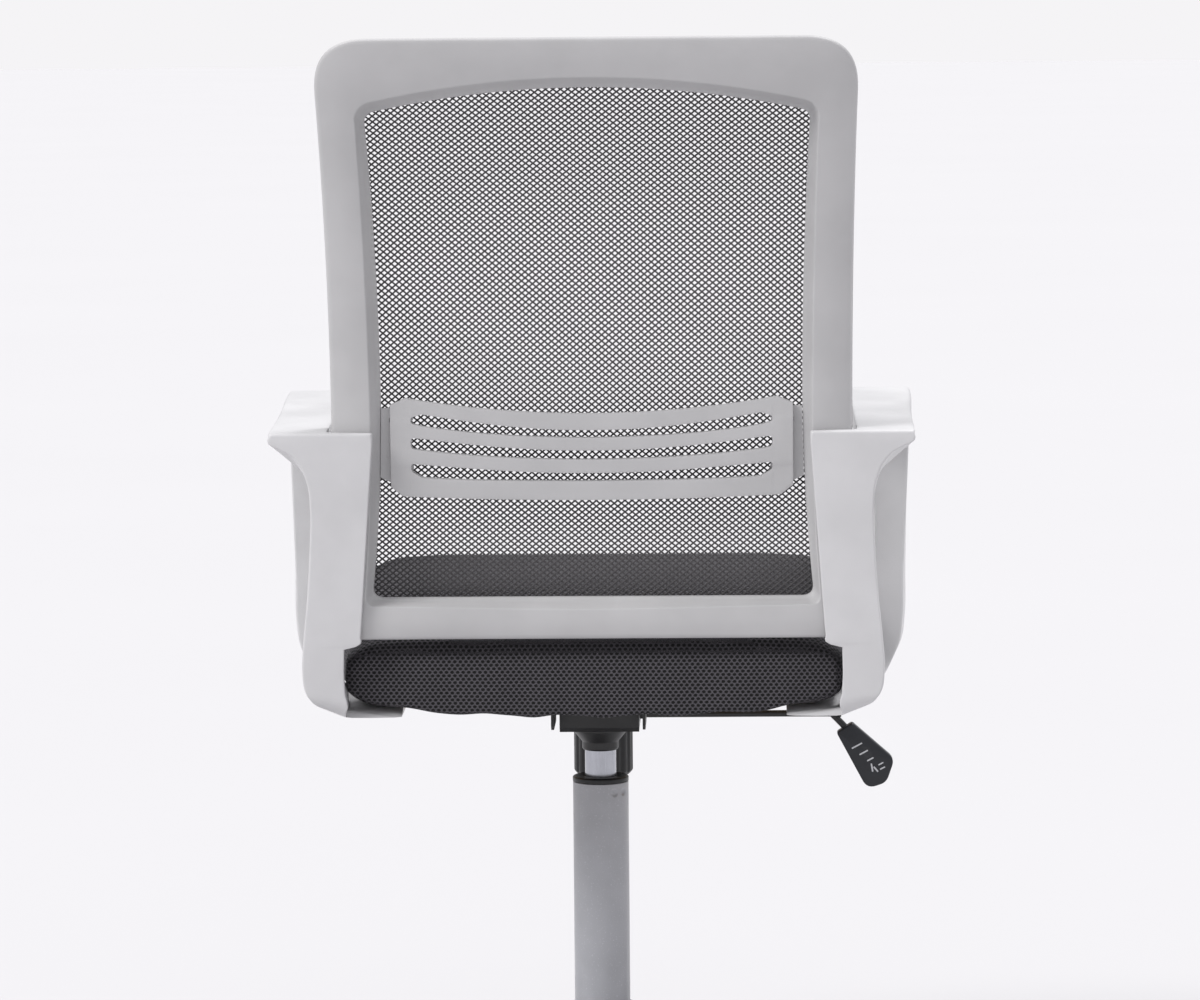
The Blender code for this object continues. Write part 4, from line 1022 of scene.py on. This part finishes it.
def bar_mark(x, z, long, wide, turn):
    """Small raised bar on the paddle's rear face."""
    corners = np.array([(-long, -wide), (long, -wide), (long, wide), (-long, wide)]) / 2
    corners = corners @ np.array([[cos(turn), sin(turn)], [-sin(turn), cos(turn)]]) + (x, z)
    return slab(rounded_loop(corners, [0.0003] * 4, [1] * 4, 2), 0.0212, 0.0216, 0.0001)


marks = [bar_mark(0.2310 + 0.0060 * n, 0.3575 - 0.0062 * n, 0.0105 - 0.0020 * n, 0.0013, radians(28))
         for n in range(3)]
marks += [bar_mark(x, z, long, wide, radians(turn)) for x, z, long, wide, turn in (
    (0.2445, 0.3375, 0.0075, 0.0014, -80), (0.2480, 0.3360, 0.0060, 0.0014, -50),
    (0.2525, 0.3410, 0.0050, 0.0012, 28), (0.2540, 0.3370, 0.0050, 0.0012, 28))]
add_piece("lever_marks", together(*marks), MARKS, "lever")


# ---------------------------------------------------------------- bolts
def hex_head(angle, line):
    """Six flats on a bolt's head."""
    turn = np.mod(angle + pi / 6, pi / 3) - pi / 6
    flat = line[:, 0][:, None] * (0.9 / np.cos(turn) - 1)
    return np.where(line[:, 0][:, None] > 0.0045, flat, 0.0)


for side, word in ((-1, "left"), (1, "right")):
    for y, place in ((-0.120, "rear"), (-0.045, "front")):
        bolt = lathe([(0.0001, 0.4138), (0.0022, 0.4138), (0.0024, 0.4132), (0.0048, 0.4132),
                      (0.0055, 0.4140), (0.0055, 0.4172), (0.0030, 0.4172), (0.0030, 0.4355),
                      (0.0001, 0.4355)], (side * 0.176, y), 0.0003, steps=60, wave=hex_head)
        stand_in(f"arm_bolt_{word}_{place}", bolt, ZINC, "seat")
    bolt = lathe_x([(0.0001, side * 0.2065), (0.0027, side * 0.2065), (0.0027, side * 0.2325),
                    (0.0001, side * 0.2325)], float(back_y(0.560)), 0.560)
    stand_in(f"frame_bolt_{word}", bolt, ZINC, "seat")


# ---------------------------------------------------------------- star base and castors
def base_leg():
    """One leg along +X: a crowned box that tapers, with a rounded end round the castor's socket."""
    at = np.concatenate([np.linspace(0.030, 0.290, 40),
                         0.290 + 0.024 * np.sin(np.linspace(0.05, pi / 2, 10))])
    half = spline([(0.030, 0.0185), (0.060, 0.0178), (0.150, 0.0172), (0.230, 0.0152), (0.300, 0.0135)], at)
    tip = np.clip((at - 0.290) / 0.0245, 0, 1)
    half = half * np.sqrt(1 - tip**2) + 0.0002
    low = spline([(0.030, 0.0700), (0.120, 0.0740), (0.220, 0.0700), (0.300, 0.0640)], at)
    high = spline([(0.030, 0.1150), (0.060, 0.1128), (0.120, 0.1100), (0.220, 0.0980), (0.300, 0.0845)], at)
    high = high - 0.005 * tip**2
    corners = []
    for wide, height in ((-0.80, low), (0.80, low), (1.0, low + 0.006), (0.80, high - 0.003), (0.0, high),
                         (-0.80, high - 0.003), (-1.0, low + 0.006)):
        corners.append(np.stack([at, half * wide, height + 0 * at], axis=-1))
    radii = [0.0015, 0.0015, 0.003, 0.006, 0.02, 0.006, 0.003]
    return skin(rounded_rings(np.stack(corners, axis=1), radii, 4))


def star_shape():
    """Hub round the column's foot, and five legs with sockets for the castors' stems."""
    hub = lathe([(0.0253, 0.0640), (0.0340, 0.0640), (0.0375, 0.0680), (0.0362, 0.1100), (0.0355, 0.1200),
                 (0.0325, 0.1260), (0.0253, 0.1260)], radius=0.0016, bore=True, steps=96)
    leg = base_leg()
    socket = lathe([(0.0058, 0.0582), (0.0150, 0.0582), (0.0150, 0.0840), (0.0125, 0.0862), (0.0001, 0.0862),
                    (0.0001, 0.0803), (0.0058, 0.0803)], (CASTOR_CIRCLE, 0.0), 0.0008, True, 48)
    shapes = [hub]
    for i in range(5):
        angle = pi / 2 + 2 * pi * i / 5
        shapes += [turned_z(leg, angle), turned_z(socket, angle)]
    return together(*shapes)


stand_in("star_base", star_shape(), NYLON, "base")


def castor_hood():
    """Hood about the stem's axis: a half round cover over both wheels, a middle web and the stem's boss."""
    turn = np.radians(np.linspace(12, 168, 40))
    corners = []
    for x, radius in ((-0.0215, 0.0270), (-0.0215, 0.0295), (0.0215, 0.0295), (0.0215, 0.0270)):
        corners.append(np.stack([x + 0 * turn, TRAIL + radius * np.cos(turn),
                                 WHEEL_RADIUS + radius * np.sin(turn)], axis=-1))
    cover = skin(rounded_rings(np.stack(corners, axis=1), [0.0006, 0.0020, 0.0020, 0.0006], 4))
    outline = [(TRAIL + 0.0283 * cos(a), WHEEL_RADIUS + 0.0283 * sin(a)) for a in turn]
    outline += [(-0.028, 0.021), (-0.018, 0.016), (-0.008, 0.021)]
    web = slab(outline, -0.0032, 0.0032, 0.0005, axis=0)
    boss = lathe([(0.0058, 0.0462), (0.0095, 0.0350), (0.0098, 0.0540), (0.0090, 0.0567), (0.0058, 0.0567)],
                 radius=0.0008, bore=True, steps=48)
    return together(cover, web, boss)


def castor_wheel(side):
    """Wheel beside the web: rounded tread, a sunk outer face and a small hub cap."""
    profile = [(0.0032, 0.0035), (0.0238, 0.0035), (0.0250, 0.0058), (0.0250, 0.0158), (0.0222, 0.0200),
               (0.0200, 0.0203), (0.0180, 0.0190), (0.0080, 0.0190), (0.0065, 0.0200), (0.0001, 0.0203),
               (0.0001, 0.0190), (0.0032, 0.0190)]
    return lathe_x([(r, side * x) for r, x in profile], TRAIL, WHEEL_RADIUS, 0.0009, True, 72)


hood = castor_hood()
wheels = {word: castor_wheel(side) for side, word in ((-1, "left"), (1, "right"))}
stem = lathe([(0.0001, 0.0464), (0.0055, 0.0464), (0.0055, 0.0568), (0.0085, 0.0568), (0.0085, 0.0579),
              (0.0055, 0.0579), (0.0055, 0.0785), (0.0045, 0.0795), (0.0001, 0.0795)], radius=0.0004,
             steps=36)
axle = lathe_x([(0.0001, -0.0175), (0.0030, -0.0175), (0.0030, 0.0175), (0.0001, 0.0175)], TRAIL,
               WHEEL_RADIUS)
for i in range(5):
    angle = pi / 2 + 2 * pi * i / 5
    spot = (CASTOR_CIRCLE * cos(angle), CASTOR_CIRCLE * sin(angle))
    name = f"castor_{i + 1}"
    for part, shape, material, slot in (
            ("hood", hood, NYLON, "black_plastic"), ("stem", stem, ZINC, "zinc_steel"),
            ("axle", axle, ZINC, "zinc_steel")):
        stand_in(f"{name}_{part}", shifted(shape, *spot), material, name)
    for word, shape in wheels.items():
        stand_in(f"{name}_wheel_{word}", shifted(shape, *spot), WHEEL, f"{name}_{word}")


# ---------------------------------------------------------------- studio and camera
def floor():
    """Wide pale floor."""
    material, s, surface = new_material("Studio floor")
    tone = s.noise(s.object_point(), 0.7, 2.0)
    s.set(surface.inputs["Base Color"], s.mix(tone, (0.518, 0.512, 0.525), (0.532, 0.526, 0.539)))
    surface.inputs["Roughness"].default_value = 0.8
    mesh = bpy.data.meshes.new("studio_floor")
    mesh.from_pydata([(-60, -60, 0), (60, -60, 0), (60, 60, 0), (-60, 60, 0)], [], [(0, 1, 2, 3)])
    mesh.materials.append(material)
    linked("studio_floor", mesh)


def sky_light(name, place, power, spread, colour=(1, 1, 1)):
    """Far soft light that shines from a place towards the chair, evenly over the whole floor."""
    data = bpy.data.lights.new(name, "SUN")
    data.energy = power
    data.angle = radians(spread)
    data.color = colour
    obj = linked(name, data)
    obj.matrix_world = looking(Vector(place), -Vector(place).normalized(), Vector((0, 0, 1)))


def looking(place, forward, up):
    """Matrix of a lamp or camera at a place, looking along forward."""
    right = forward.cross(up).normalized()
    up = right.cross(forward)
    turn = Matrix((right, up, -forward)).transposed()
    return Matrix.Translation(place) @ turn.to_4x4()


def camera():
    """Long lens behind the chair, a little to the right and above."""
    data = bpy.data.cameras.new("Camera")
    data.lens = 150
    data.sensor_width = 36
    data.clip_end = 200
    obj = linked("Camera", data)
    turn, dip, roll = radians(1.5), radians(5.9), radians(0.50)
    forward = Vector((-sin(turn) * cos(dip), cos(turn) * cos(dip), -sin(dip)))
    side = forward.cross(Vector((0, 0, 1))).normalized()
    up = side.cross(forward) * cos(roll) + side * sin(roll)
    obj.matrix_world = looking(Vector((0.118, -4.449, 1.044)), forward, up)
    bpy.context.scene.camera = obj


def studio():
    """Pale surroundings that look like the floor, floor, two soft lights and camera."""
    scene = bpy.context.scene
    scene.view_settings.view_transform = "Standard"
    world = bpy.data.worlds.new("Studio")
    world.use_nodes = True
    s = Shader(world.node_tree)
    height = s.split(s.node("ShaderNodeTexCoord").outputs["Generated"])[2]
    glow = s.mix(s.ramp(height, -0.05, 0.8), (0.55, 0.55, 0.565), (1.15, 1.15, 1.17))
    background = world.node_tree.nodes["Background"]
    seen = s.node("ShaderNodeLightPath").outputs["Is Camera Ray"]
    s.set(background.inputs["Color"], s.mix(seen, glow, (1.142, 1.130, 1.150)))
    background.inputs["Strength"].default_value = 0.80
    scene.world = world
    floor()
    sky_light("Key light", (-3.2, -1.9, 3.1), 1.9, 24, (1.0, 0.995, 0.985))
    sky_light("Top light", (1.5, 0.6, 3.4), 1.8, 20)
    camera()


studio()
